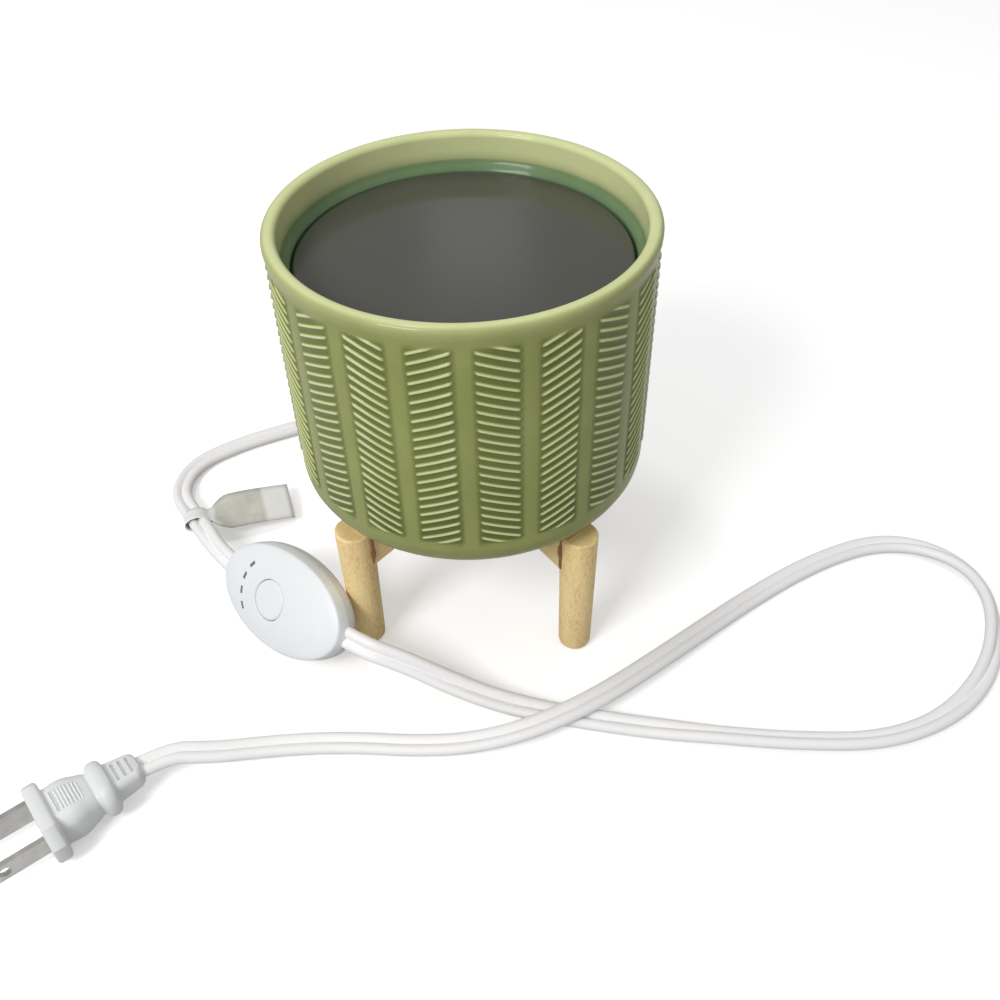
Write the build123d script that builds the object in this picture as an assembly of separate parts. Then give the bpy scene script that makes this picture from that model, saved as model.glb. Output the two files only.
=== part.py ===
from build123d import *

import os
from math import cos, radians, sin, sqrt, tan

# A candle warmer: a glazed pot with an electric hot plate sunk in its mouth, on a pegged
# wooden stand, with a flat twin mains cord, an inline timer control and a two-blade plug.
# Millimetres, +Z up. The origin is where the pot's axis meets the surface it stands on.
# +X is to the right and -Y is towards the viewer, who sees two legs in front.

# Wooden stand
leg_inset = 4.9
leg_height = 47.8
leg_top_gap = 0.2
leg_top_radius = 5.55
leg_foot_radius = 4.95
leg_foot_round = 1.8
leg_top_round = 0.5
leg_count = 4
bar_end_depth = 14.0
bar_arch_rise = 5.0
bar_width = 10.0
bar_leg_gap = 0.15
lap_gap = 0.1
dowel_radius = 2.5
dowel_length = 14.0
dowel_fit = 0.05
dowel_drop = 7.0

# Glazed pot
pot_radius = 51.0
pot_height = 82.0
rim_wall = 3.5
rim_round = 1.6
cove_top_depth = 8.5
cove_bottom_depth = 10.8
seat_wall = 5.6
seat_depth = 13.0
pot_wall = 7.0
pot_floor = 6.0
floor_round = 7.0
edge_run = 16.0
edge_rise = 10.0
rebate_land = 1.0
rebate_step = 4.0

# Herringbone ribs cast on the pot, in columns that lean right and left in turn. Every
# second rib of the real pattern is here, and the scene shows them all.
rib_column_count = 20
first_column_angle = -5.0
rib_column_angle = 12.0
rib_slope = 20.0
rib_pitch = 5.684
rib_width = 0.7
rib_height = 0.38
rib_root = 0.4
rib_band_drop = 5.6
rib_band_foot = 13.7
first_rib_drop = 8.5

# Hot plate and what is under it
plate_sink = 10.7
plate_gap = 0.6
plate_thickness = 1.5
plate_edge_round = 0.7
skirt_gap = 0.8
skirt_depth = 10.0
gasket_gap = 0.2
gasket_lip = 0.5
heater_gap = 8.0
heater_thickness = 3.0
insulation_inset = 4.0
insulation_thickness = 5.0
clamp_inset = 3.0
clamp_thickness = 1.2
clamp_hub_radius = 9.0
clamp_hub_depth = 2.0
rod_radius = 2.0
rod_fit = 0.3
rod_tail = 2.0
nut_width = 7.0
nut_height = 3.2
thread_fit = 0.05
washer_radius = 5.0
washer_thickness = 0.8

# Thermostat and thermal fuse on the clamp plate
thermostat_hub_gap = 2.5
thermostat_radius = 7.5
thermostat_depth = 8.0
thermostat_flange = 1.2
thermostat_ear_radius = 3.5
thermostat_ear_reach = 12.0
tab_width = 6.3
tab_thickness = 0.8
tab_length = 7.0
tab_spacing = 7.5
screw_radius = 1.4
screw_head_radius = 2.6
screw_head_height = 1.6
screw_tip_gap = 0.2
fuse_hub_gap = 0.2
fuse_radius = 2.0
fuse_length = 12.0
fuse_clip_width = 5.0
fuse_clip_thickness = 0.6
fuse_clip_reach = 8.0

# Wiring inside the pot
core_radius = 0.9
tail_length = 10.0
core_spacing = 2.4
core_straight = 2.0
crimp_radius = 3.5
crimp_length = 14.0
crimp_spacing = 11.8
core_run = 9.8
cap_round_share = 0.6
lead_offset = 1.5
lead_bend = 3.0
lead_reach = 6.0
lead_x = 10.0
loop_drop = 7.0
fuse_lead_reach = 6.0
fuse_lead_sink = 2.2

# Base cover in the pot's foot
cover_thickness = 2.6
cover_gap = 0.3
cover_hub_radius = 7.0
cover_hub_height = 6.0
cover_rib_height = 3.0
cover_rib_thickness = 2.0
cover_rib_count = 6
cover_rib_gap = 2.0

# Cord outlet in the pot's back wall
outlet_rise = 18.0
outlet_hole_radius = 5.0
outlet_fit = 0.15
outlet_flat_depth = 0.8
outlet_flat_radius = 9.0
outlet_flange_radius = 8.0
outlet_flange_thickness = 2.0
outlet_boot_length = 20.0
outlet_boot_radius = 5.0
outlet_boot_tip_radius = 3.4
outlet_barrel_tail = 5.0
lock_ring_radius = 7.8
lock_ring_thickness = 2.6
inner_flat_depth = 0.8

# Inline control, standing on its long edge against the front left leg
control_from_leg = (-26.252, -2.272, 17.3)
control_heading = 142.5
control_slope = 5.1
control_tilt = 55.8
control_half_length = 26.6
control_half_width = 15.7
control_flare = 0.4
control_top_depth = 3.8
control_base_depth = 4.6
control_back_round = 3.0
control_wall = 1.5
control_crown = 2.6
control_crown_depth = 12.0
control_post_radius = 2.0
control_post_u = -17.0
control_post_v = 7.4
control_split_depth = 6.0
control_screw_fit = 0.1

# Button, lights and circuit board of the control
button_u = 2.1
button_v = 0.5
button_radius = 6.2
button_gap = 0.3
button_flange_radius = 7.4
button_flange_thickness = 0.8
button_flange_drop = 0.9
button_travel = 0.6
stem_radius = 1.4
light_circle_radius = 13.5
light_pitch = 21.0
light_count = 4
light_length = 2.6
light_width = 1.2
light_gap = 0.1
light_recess = 0.12
board_length = 33.0
board_width = 15.0
board_u = 2.3
board_depth = 4.2
board_thickness = 1.0
board_round = 4.0
board_post_radius = 1.2
board_post_u = 11.0
board_post_v = 5.4
switch_side = 6.0
switch_height = 2.6
plunger_radius = 1.6
plunger_gap = 0.1
plunger_sink = 1.4
plunger_rise = 0.7
plunger_well = 2.4
capacitor_size = (7.5, 4.6, 2.8)
capacitor_place = (-9.8, -4.2)
triac_size = (6.0, 5.8, 2.2)
triac_place = (-9.0, 4.0)
timer_chip_size = (8.6, 5.0, 1.2)
timer_chip_place = (2.0, 0.0)
light_chip_size = (1.4, 2.0, 0.8)
cord_clamp_size = (2.6, 6.6, 4.6)
entry_clamp_u = 19.8
exit_clamp_u = 15.2
wire_radius = 0.4
wire_spacing = 2.4
wire_length = 3.0
control_screw_radius = 1.1
control_screw_length = 6.0
control_screw_head_radius = 2.0
control_screw_head_height = 1.2

# Flat twin cord, drawn here as a round tube of about the same section
cord_diameter = 4.4
cord_hole_fit = 0.15
cord_floor = 2.2
bend_share = 0.45
straight_run = 11.5
cord_bend_reach = 5.5
plug_bend_reach = 8.0

# Label folded round the cord
tag_length = 30.5
tag_width = 15.5
tag_loop_width = 6.0
tag_thickness = 0.4
tag_loop_radius = 2.75
tag_place_share = 0.7
tag_skew = -14.0
tag_droop = 4.0

# Two-blade plug, lying with its blades side by side on the floor
plug_face = (-110.6, -107.4)
plug_heading = 41.5
flange_width = 24.0
flange_height = 15.0
flange_thickness = 4.2
flange_corner = 4.5
flange_edge_round = 0.8
plug_body_length = 11.8
plug_body_front = (15.0, 12.2)
plug_body_middle = (15.4, 12.4)
plug_body_rear = (11.4, 9.4)
plug_body_corner = 4.0
collar_width = 15.8
collar_height = 11.8
collar_corner = 4.8
collar_thickness = 4.4
collar_round = 1.9
neck_length = 8.4
neck_size = (9.8, 7.8)
neck_tip_size = (8.0, 6.4)
neck_corner = 2.8
neck_groove_width = 0.9
neck_groove_depth = 0.9
neck_groove_length = 6.0
neck_groove_count = 3
grip_length = 8.4
grip_width = 6.4
grip_depth = 0.7
blade_spacing = 12.7
blade_thickness = 1.5
blade_length = 16.0
blade_root = 9.0
narrow_blade_width = 6.3
wide_blade_width = 7.9
blade_point = 1.6
blade_hole_radius = 1.6
blade_hole_reach = 11.7

# One overrun for every cut that has to pass right through
overrun = 1.0

# Sizes that follow from the ones above
leg_circle_radius = pot_radius - leg_inset
bar_top_height = leg_height + leg_top_gap
bore_radius = pot_radius - rim_wall
pot_base_height = bar_top_height
rim_height = pot_base_height + pot_height
cove_top_height = rim_height - cove_top_depth
cove_bottom_height = rim_height - cove_bottom_depth
seat_height = rim_height - seat_depth
seat_bore_radius = pot_radius - seat_wall
cavity_radius = pot_radius - pot_wall
edge_corner = pot_radius - edge_run
cover_rebate_radius = edge_corner - rebate_land
base_opening_radius = cover_rebate_radius - rebate_step
rib_band_top = rim_height - rib_band_drop
rib_band_bottom = pot_base_height + rib_band_foot
plate_top_height = rim_height - plate_sink
plate_radius = seat_bore_radius - plate_gap
skirt_radius = cavity_radius - skirt_gap
gasket_radius = seat_bore_radius - gasket_gap
gasket_inner_radius = cavity_radius - gasket_lip
heater_radius = cavity_radius - heater_gap
insulation_radius = heater_radius - insulation_inset
clamp_radius = heater_radius - clamp_inset
lead_circle = (heater_radius + clamp_radius) / 2
lead_y = sqrt(lead_circle ** 2 - lead_x ** 2)
thermostat_x = -(clamp_hub_radius + thermostat_hub_gap + thermostat_radius)
fuse_y = -(clamp_hub_radius + fuse_hub_gap + fuse_clip_reach)
cover_rib_reach = base_opening_radius - cover_rib_gap
outlet_height = pot_base_height + outlet_rise
floor_top_height = pot_base_height + pot_floor
bar_underside = bar_top_height - bar_end_depth
crossing_underside = bar_underside + bar_arch_rise
lap_height = (bar_top_height + crossing_underside) / 2
plate_underside = plate_top_height - plate_thickness
heater_bottom = plate_underside - heater_thickness
insulation_bottom = heater_bottom - insulation_thickness
clamp_bottom = insulation_bottom - clamp_thickness
hub_bottom = clamp_bottom - clamp_hub_depth
thermostat_seat = clamp_bottom - thermostat_flange
fuse_clip_seat = clamp_bottom - fuse_clip_thickness
outlet_flat_y = pot_radius - outlet_flat_depth
inner_flat_y = cavity_radius + inner_flat_depth
boot_tip_y = outlet_flat_y + outlet_flange_thickness + outlet_boot_length
barrel_end_y = inner_flat_y - outlet_barrel_tail
crimp_mouth_y = barrel_end_y - tail_length - core_run
cord_radius = cord_diameter / 2
control_back = control_top_depth + control_base_depth
control_floor = -control_back + control_wall
control_screw_seat = -control_back + control_screw_head_height
control_screw_tip = control_screw_seat + control_screw_length
switch_top = -board_depth + switch_height
light_chip_top = -board_depth + light_chip_size[2]
plunger_top = switch_top + plunger_rise
plug_length = flange_thickness + plug_body_length + collar_thickness + neck_length
plug_rear = -flange_thickness - plug_body_length
leg_angles = [45.0 + 360.0 / leg_count * index for index in range(leg_count)]
leg_names = ["leg_front_right", "leg_rear_right", "leg_rear_left", "leg_front_left"]


def save(node, shape):
    """Write one node's solids to its own file."""
    export_step(shape, "parts/" + node + ".step")


def ring(outer, inner, bottom, top):
    """A flat ring round the pot's axis between two heights."""
    blank = extrude(Circle(outer), amount=top - bottom)
    hole = extrude(Circle(inner), amount=top - bottom)
    return Pos(0, 0, bottom) * (blank - hole)


def upright(radius, bottom, top, x=0.0, y=0.0):
    """A round bar between two heights."""
    return Pos(x, y, bottom) * extrude(Circle(radius), amount=top - bottom)


def spun(*points):
    """A body turned round the Z axis from an outline of radius and height pairs."""
    outline = make_face(Polyline(*[(r, 0, z) for r, z in points], close=True))
    return revolve(outline, Axis.Z)


def hexagon_nut(bottom):
    """A nut on the pot's axis, with its thread left as a clear hole."""
    blank = extrude(RegularPolygon(nut_width / 2, 6, major_radius=False), amount=nut_height)
    return Pos(0, 0, bottom) * (blank - extrude(Circle(rod_radius + thread_fit), amount=nut_height))


# Stand

def leg_cone(growth):
    """A leg's tapered outline on the stand's own axis, grown by a clearance."""
    foot = Circle(leg_foot_radius + growth)
    top = Pos(0, 0, leg_height) * Circle(leg_top_radius + growth)
    return loft([foot, top], ruled=True)


def leg_taper(height):
    """A leg's radius at a height."""
    return leg_foot_radius + (leg_top_radius - leg_foot_radius) * height / leg_height


def on_leg(angle, shape):
    """Move a shape from the stand's axis to the leg at this angle from the front."""
    turn = radians(angle)
    return Pos(leg_circle_radius * sin(turn), -leg_circle_radius * cos(turn), 0) * shape


def dowel(angle, growth):
    """The peg between a leg and its bar, half in each."""
    middle = leg_circle_radius - (leg_top_radius + leg_foot_radius) / 2
    peg = Cylinder(dowel_radius + growth, dowel_length + 2 * growth)
    turn = radians(angle)
    place = Pos(middle * sin(turn), -middle * cos(turn), bar_top_height - dowel_drop)
    return place * Rot(0, 0, angle) * Rot(90, 0, 0) * peg


def leg(angle):
    """One turned leg with a rounded foot, a flat top and its peg hole."""
    foot = leg_foot_radius - leg_foot_round
    top = leg_top_radius - leg_top_round
    taper = leg_taper(leg_foot_round)
    outline = make_face([
        Line((0, 0), (foot, 0)),
        ThreePointArc((foot, 0), (foot + leg_foot_round * sin(radians(45)),
                                  leg_foot_round * (1 - cos(radians(45)))), (taper, leg_foot_round)),
        Line((taper, leg_foot_round), (leg_taper(leg_height - leg_top_round),
                                       leg_height - leg_top_round)),
        Line((leg_taper(leg_height - leg_top_round), leg_height - leg_top_round), (top, leg_height)),
        Line((top, leg_height), (0, leg_height)),
        Line((0, leg_height), (0, 0)),
    ])
    body = revolve(Plane.XZ * outline, Axis.Z)
    return on_leg(angle, body) - dowel(angle, dowel_fit)


def cross_bar(angle, notch_above):
    """An arched bar between two opposite legs, halved where the bars cross."""
    reach = leg_circle_radius
    rise = crossing_underside
    outline = make_face([
        Line((-reach, bar_top_height), (reach, bar_top_height)),
        Line((reach, bar_top_height), (reach, bar_underside)),
        ThreePointArc((reach, bar_underside), (0, rise), (-reach, bar_underside)),
        Line((-reach, bar_underside), (-reach, bar_top_height)),
    ])
    bar = extrude(Plane.XZ * outline, amount=bar_width / 2, both=True)
    notch_side = bar_width + 2 * lap_gap
    if notch_above:
        notch_bottom = lap_height
        notch_top = bar_top_height + overrun
    else:
        notch_bottom = crossing_underside - overrun
        notch_top = lap_height
    notch_middle = (notch_bottom + notch_top) / 2
    notch = Pos(0, 0, notch_middle) * Box(notch_side, bar_width + overrun, notch_top - notch_bottom)
    bar = Rot(0, 0, angle - 90) * (bar - notch)
    for end in (angle, angle + 180):
        bar = bar - on_leg(end, leg_cone(bar_leg_gap)) - dowel(end, dowel_fit)
    washer_seat = upright(washer_radius + rod_fit, bar_underside, crossing_underside)
    return bar - washer_seat - upright(rod_radius + rod_fit, bar_underside, bar_top_height + overrun)


# Pot and hot plate

def pot_shell():
    """The glazed pot: rounded rim, cove and seat for the plate, and a holed floor."""
    edge_top = pot_base_height + edge_rise
    wall_points = [
        (pot_radius, edge_top), (pot_radius, rim_height), (bore_radius, rim_height),
        (bore_radius, cove_top_height), (seat_bore_radius, cove_bottom_height),
        (seat_bore_radius, seat_height), (cavity_radius, seat_height),
        (cavity_radius, floor_top_height), (base_opening_radius, floor_top_height),
        (base_opening_radius, pot_base_height), (edge_corner, pot_base_height),
    ]
    edge = EllipticalCenterArc((edge_corner, edge_top), edge_run, edge_rise, start_angle=270,
                               arc_size=90)
    body = revolve(Plane.XZ * make_face([Polyline(*wall_points), edge]), Axis.Z)
    rims = body.edges().filter_by(GeomType.CIRCLE).group_by(Axis.Z)[-1]
    body = fillet(rims, rim_round)
    inner_corner = body.edges().filter_by(GeomType.CIRCLE).filter_by(
        lambda edge: abs(edge.radius - cavity_radius) < overrun / 2
        and abs(edge.center().Z - floor_top_height) < overrun / 2)
    body = fillet(inner_corner, floor_round)
    rebate = upright(cover_rebate_radius, pot_base_height, pot_base_height + cover_thickness)
    body = body - rebate
    hole = Plane.XZ * Circle(outlet_hole_radius)
    body = body - Pos(0, 0, outlet_height) * extrude(hole, amount=-(pot_radius + overrun))
    flat = Box(2 * outlet_flat_radius, 2 * outlet_flat_depth, 2 * outlet_flat_radius)
    body = body - Pos(0, outlet_flat_y + outlet_flat_depth, outlet_height) * flat
    inside = extrude(Plane.XZ * Circle(outlet_flat_radius), amount=(inner_flat_depth + overrun))
    body = body - Pos(0, inner_flat_y, outlet_height) * inside
    pitch = 360 / rib_column_count
    ribs = []
    for lean in (1, -1):
        first = first_column_angle if lean == 1 else first_column_angle + pitch
        column = rib_column(lean)
        for index in range(rib_column_count // 2):
            place = Rot(0, 0, first + 2 * pitch * index)
            ribs += [place * rib for rib in column if clears_outlet(place * rib)]
    return body.fuse(*ribs)


def rib_column(lean):
    """The slanting ribs of one column at the front, rooted a little way into the wall."""
    depth = rib_root + rib_height
    middle = pot_radius + (rib_height - rib_root) / 2
    band = Pos(middle, (rib_band_top + rib_band_bottom) / 2) * Rectangle(
        depth, rib_band_top - rib_band_bottom)
    sector = revolve(Plane.XZ * band, Axis.Z, revolution_arc=rib_column_angle)
    sector = Rot(0, 0, -90 - rib_column_angle / 2) * sector
    slab = Box(pot_radius, 2 * pot_wall, rib_width)
    count = int((rib_band_top - rib_band_bottom) / rib_pitch) + 1
    ribs = []
    for index in range(count):
        height = rim_height - first_rib_drop - rib_pitch * index
        ribs += (sector & Pos(0, -pot_radius, height) * Rot(0, -lean * rib_slope, 0) * slab).solids()
    return ribs


def clears_outlet(rib):
    """Whether a rib stays clear of the flat round the cord outlet."""
    middle = rib.center()
    reach = outlet_flat_radius + pot_radius * radians(rib_column_angle) / 2
    return middle.Y < 0 or abs(middle.X) > reach or abs(middle.Z - outlet_height) > reach


def warming_plate():
    """The hot plate: a flat disc with a turned-down skirt inside the pot."""
    skirt_inner = skirt_radius - plate_thickness
    skirt_bottom = plate_underside - skirt_depth
    body = spun((0, plate_top_height), (plate_radius, plate_top_height),
                (plate_radius, plate_underside), (skirt_radius, plate_underside),
                (skirt_radius, skirt_bottom), (skirt_inner, skirt_bottom),
                (skirt_inner, plate_underside), (0, plate_underside))
    return fillet(body.edges().group_by(Axis.Z)[-1], plate_edge_round)


def clamp_plate():
    """The pressed plate that holds the heater up, with a sunk hub for its nut."""
    hub_inner = clamp_hub_radius - clamp_thickness
    body = spun((clamp_radius, insulation_bottom), (clamp_radius, clamp_bottom),
                (clamp_hub_radius, clamp_bottom), (clamp_hub_radius, hub_bottom - clamp_thickness),
                (rod_radius + rod_fit, hub_bottom - clamp_thickness),
                (rod_radius + rod_fit, hub_bottom), (hub_inner, hub_bottom),
                (hub_inner, insulation_bottom))
    for x, y, seat in clamp_screw_places():
        body = body - upright(screw_radius + thread_fit, seat, insulation_bottom + overrun, x, y)
    return body


def clamp_screw_places():
    """The place and seat height of each screw in the clamp plate."""
    strap_edge = fuse_radius + fuse_clip_thickness
    clip_hole = (fuse_clip_reach + strap_edge) / 2
    ears = [(thermostat_x, side * thermostat_ear_reach, thermostat_seat) for side in (-1, 1)]
    feet = [(0, fuse_y + side * clip_hole, fuse_clip_seat) for side in (-1, 1)]
    return ears + feet


def clamp_screw(x, y, seat):
    """A pan-head screw driven up into the clamp plate's underside."""
    half = screw_head_height / 2
    tip = insulation_bottom - screw_tip_gap
    return Pos(x, y, 0) * spun((0, seat - screw_head_height), (screw_head_radius - half,
                               seat - screw_head_height), (screw_head_radius, seat - half),
                               (screw_head_radius, seat), (screw_radius, seat),
                               (screw_radius, tip), (0, tip))


def thermostat():
    """A round bimetal thermostat with two ears and two push-on tabs."""
    body = upright(thermostat_radius, clamp_bottom - thermostat_depth, clamp_bottom)
    flange = upright(thermostat_ear_radius, thermostat_seat, clamp_bottom, 0, thermostat_ear_reach)
    flange = flange + mirror(flange, Plane.XZ)
    web = Pos(0, 0, (thermostat_seat + clamp_bottom) / 2) * Box(
        2 * thermostat_ear_radius, 2 * thermostat_ear_reach, thermostat_flange)
    body = body + flange + web
    tab = Box(tab_thickness, tab_width, tab_length)
    tab_z = clamp_bottom - thermostat_depth - tab_length / 2
    for side in (-1, 1):
        body = body + Pos(side * tab_spacing / 2, 0, tab_z) * tab
        body = body - upright(screw_radius + thread_fit, thermostat_seat - overrun,
                              clamp_bottom + overrun, 0, side * thermostat_ear_reach)
    return Pos(thermostat_x, 0, 0) * body


def fuse_clip():
    """A bent strap under the thermal fuse, with a flat foot at each side."""
    middle = clamp_bottom - fuse_radius
    half = (middle + clamp_bottom) / 2
    outer_radius = fuse_radius + fuse_clip_thickness
    foot = Pos(0, clamp_bottom - fuse_clip_thickness / 2) * Rectangle(
        2 * fuse_clip_reach, fuse_clip_thickness)
    outer = Pos(0, middle) * Circle(outer_radius)
    outer = outer + Pos(0, half) * Rectangle(2 * outer_radius, fuse_radius)
    inner = Pos(0, middle) * Circle(fuse_radius)
    inner = inner + Pos(0, half) * Rectangle(2 * fuse_radius, fuse_radius)
    above = Pos(0, clamp_bottom + outer_radius) * Rectangle(2 * outer_radius, 2 * outer_radius)
    strap = extrude(Plane.YZ * (outer + foot - inner - above), amount=fuse_clip_width / 2, both=True)
    strap = Pos(0, fuse_y, 0) * strap
    for x, y, seat in clamp_screw_places():
        strap = strap - upright(screw_radius + thread_fit, seat - overrun, clamp_bottom + overrun, x, y)
    return strap


def thermal_fuse():
    """The fuse's round body, lying along X against the clamp plate."""
    body = Rot(0, 90, 0) * Cylinder(fuse_radius, fuse_length)
    body = chamfer(body.edges(), fuse_radius / 4)
    return Pos(0, fuse_y, clamp_bottom - fuse_radius) * body


# Wiring in the pot

def bent_wire(points, radius, bend):
    """A wire along straight runs joined by one size of bend."""
    path = FilletPolyline(*points, radius=bend)
    return sweep(Plane(origin=path @ 0, z_dir=path % 0) * Circle(radius), path=path)


def crimp_cap(side):
    """A closed-end connector lying with its mouth to the back."""
    x = side * crimp_spacing / 2
    cap = extrude(Plane.XZ * Circle(crimp_radius), amount=crimp_length)
    cap = chamfer(cap.edges().sort_by(Axis.Y)[0], crimp_radius * cap_round_share)
    return Pos(x, crimp_mouth_y, outlet_height) * cap


def supply_core(side):
    """One core from the split cord to the lower half of its crimp cap's mouth."""
    start = (side * core_spacing / 2, barrel_end_y - tail_length, outlet_height)
    end = (side * crimp_spacing / 2, crimp_mouth_y, outlet_height - lead_offset)
    split = (start[0], start[1] - core_straight, start[2])
    joined = (end[0], end[1] + core_straight, end[2])
    return bent_wire([start, split, joined, end], core_radius, lead_bend)


def cap_mouth(side):
    """Where a lead leaves a crimp cap, above the supply core, and the end of its first run."""
    start = (side * crimp_spacing / 2, crimp_mouth_y, outlet_height + lead_offset)
    return start, (start[0], start[1] + lead_reach, start[2])


def heater_lead():
    """The lead from the right crimp cap straight up to the rim of the heater."""
    start, out = cap_mouth(1)
    knee = (lead_x, lead_y, start[2] + out[1])
    return bent_wire([start, out, knee, (lead_x, lead_y, heater_bottom)], core_radius, lead_bend)


def thermostat_lead():
    """The lead from the left crimp cap to the thermostat's outer tab."""
    start, out = cap_mouth(-1)
    x = thermostat_x - tab_spacing / 2
    end = (x, 0, clamp_bottom - thermostat_depth - tab_length)
    bottom = end[2] - loop_drop
    half_way = ((start[0] + x) / 2, out[1], (start[2] + bottom) / 2)
    return bent_wire([start, out, half_way, (x, 0, bottom), end], core_radius, lead_bend)


def fuse_lead():
    """The lead from the thermostat's inner tab round to the left end of the fuse."""
    x = thermostat_x + tab_spacing / 2
    tab_end = clamp_bottom - thermostat_depth - tab_length
    fuse_end = -fuse_length / 2
    level = clamp_bottom - fuse_radius
    points = [(x, 0, tab_end), (x, 0, tab_end - loop_drop),
              (fuse_end - loop_drop, fuse_y, tab_end - loop_drop),
              (fuse_end - loop_drop, fuse_y, level), (fuse_end, fuse_y, level)]
    return bent_wire(points, core_radius, lead_bend)


def fuse_tail():
    """The lead from the right end of the fuse, under the clamp plate, up to the heater."""
    level = clamp_bottom - fuse_radius
    end = fuse_length / 2
    x = end + fuse_lead_reach
    out = -sqrt(lead_circle ** 2 - x ** 2)
    points = [(end, fuse_y, level), (x, fuse_y, level), (x, out, level - fuse_lead_sink),
              (x, out, heater_bottom)]
    return bent_wire(points, core_radius, lead_bend)


# Base cover and cord outlet

def base_cover():
    """The round cover in the pot's foot, with a ribbed hub round the tie rod."""
    radius = cover_rebate_radius - cover_gap
    top = pot_base_height + cover_thickness
    body = upright(radius, pot_base_height, top)
    body = body + upright(cover_hub_radius, top, top + cover_hub_height)
    rib = Pos(cover_rib_reach / 2, 0, top + cover_rib_height / 2) * Box(
        cover_rib_reach, cover_rib_thickness, cover_rib_height)
    for index in range(cover_rib_count):
        body = body + Rot(0, 0, 360 / cover_rib_count * index) * rib
    return body - upright(rod_radius + rod_fit, pot_base_height - overrun,
                          top + cover_hub_height + overrun)


def cord_outlet():
    """The moulded outlet: flange and barrel in the wall, and a tapered boot outside."""
    barrel = outlet_hole_radius - outlet_fit
    flange_end = outlet_flat_y + outlet_flange_thickness
    outline = Polyline((0, barrel_end_y), (barrel, barrel_end_y), (barrel, outlet_flat_y),
                       (outlet_flange_radius, outlet_flat_y), (outlet_flange_radius, flange_end),
                       (outlet_boot_radius, flange_end), (outlet_boot_tip_radius, boot_tip_y),
                       (0, boot_tip_y), close=True)
    return Pos(0, 0, outlet_height) * revolve(make_face(outline), Axis.Y)


def outlet_lock_ring():
    """The ring that locks the outlet from inside the pot."""
    blank = Circle(lock_ring_radius) - Circle(outlet_hole_radius)
    blank = extrude(Plane.XZ * blank, amount=lock_ring_thickness)
    return Pos(0, inner_flat_y, outlet_height) * blank


# Control: local U runs along it to the pot's cord, V is across it and N is out of its face

def control_plane():
    """The control's own plane at the edge of its face."""
    turn = radians(control_heading)
    drop = radians(control_slope)
    along = Vector(cos(turn) * cos(drop), sin(turn) * cos(drop), -sin(drop))
    level = Vector(0, 0, 1).cross(along).normalized()
    upward = along.cross(level)
    lean = radians(control_tilt)
    face = upward * cos(lean) + level * sin(lean)
    shift = leg_circle_radius * sin(radians(360 / leg_count / 2))
    centre = (control_from_leg[0] - shift, control_from_leg[1] - shift, control_from_leg[2])
    return Plane(origin=centre, x_dir=along, z_dir=face)


def oval(height, growth):
    """The control's oval at a height above its face, grown or shrunk."""
    return Pos(0, 0, height) * Ellipse(control_half_length + growth, control_half_width + growth)


def crown_dome(drop):
    """The gently crowned face as one end of a stretched ball, lowered by a wall."""
    sink = control_crown_depth - control_crown
    share = sqrt(1 - (sink / control_crown_depth) ** 2)
    ball = scale(Sphere(1), by=(control_half_length / share, control_half_width / share,
                                control_crown_depth))
    return Pos(0, 0, -sink - drop) * ball


def crown_height(u, v):
    """How far the crowned face stands above its edge at a place on it."""
    sink = control_crown_depth - control_crown
    share = sqrt(1 - (sink / control_crown_depth) ** 2)
    across = (u * share / control_half_length) ** 2 + (v * share / control_half_width) ** 2
    return control_crown_depth * sqrt(1 - across) - sink


def round_at(radius, bottom, top, u, v):
    """A round bar square to the control's face."""
    return Pos(u, v, bottom) * extrude(Circle(radius), amount=top - bottom)


def block_at(size, bottom, u, v):
    """A block standing on a level of the control."""
    return Pos(u, v, bottom + size[2] / 2) * Box(*size)


def cord_hole():
    """The hole for the cord along the whole control."""
    bore = Cylinder(cord_radius + cord_hole_fit, 2 * (control_half_length + control_wall))
    return Pos(0, 0, -control_top_depth) * Rot(0, 90, 0) * bore


def light_places():
    """The centre and turn of each light slot on its arc round the button."""
    places = []
    for index in range(light_count):
        turn = light_pitch * (index - (light_count - 1) / 2)
        u = button_u + light_circle_radius * cos(radians(turn))
        v = button_v + light_circle_radius * sin(radians(turn))
        places.append((u, v, turn))
    return places


def light_slot(growth, bottom, top):
    """The four light slots as upright prisms."""
    prisms = []
    for u, v, turn in light_places():
        outline = SlotOverall(light_length + 2 * growth, light_width + 2 * growth, rotation=turn + 90)
        prisms.append(Pos(u, v, bottom) * extrude(outline, amount=top - bottom))
    return prisms


def control_top_shell():
    """The crowned face shell with its button hole, light slots and screw posts."""
    body = loft([oval(-control_top_depth, control_flare), oval(control_crown + overrun, -control_flare)],
                ruled=True)
    body = body & crown_dome(0)
    inner = loft([oval(-control_top_depth - overrun, control_flare - control_wall),
                  oval(control_crown + overrun, -control_flare - control_wall)], ruled=True)
    cavity = inner & crown_dome(control_wall)
    body = body - cavity
    for side in (-1, 1):
        post = round_at(control_post_radius, -control_split_depth, control_crown,
                        control_post_u, side * control_post_v)
        post = post & crown_dome(control_wall / 2)
        pilot = round_at(control_screw_radius + thread_fit, -control_split_depth - overrun,
                         control_screw_tip + control_screw_fit, control_post_u,
                         side * control_post_v)
        body = body + post - pilot
    body = body - round_at(button_radius + button_gap, -control_top_depth, control_crown + overrun,
                           button_u, button_v)
    for slot in light_slot(light_gap, -control_top_depth, control_crown + overrun):
        body = body - slot
    return body - cord_hole()


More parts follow.
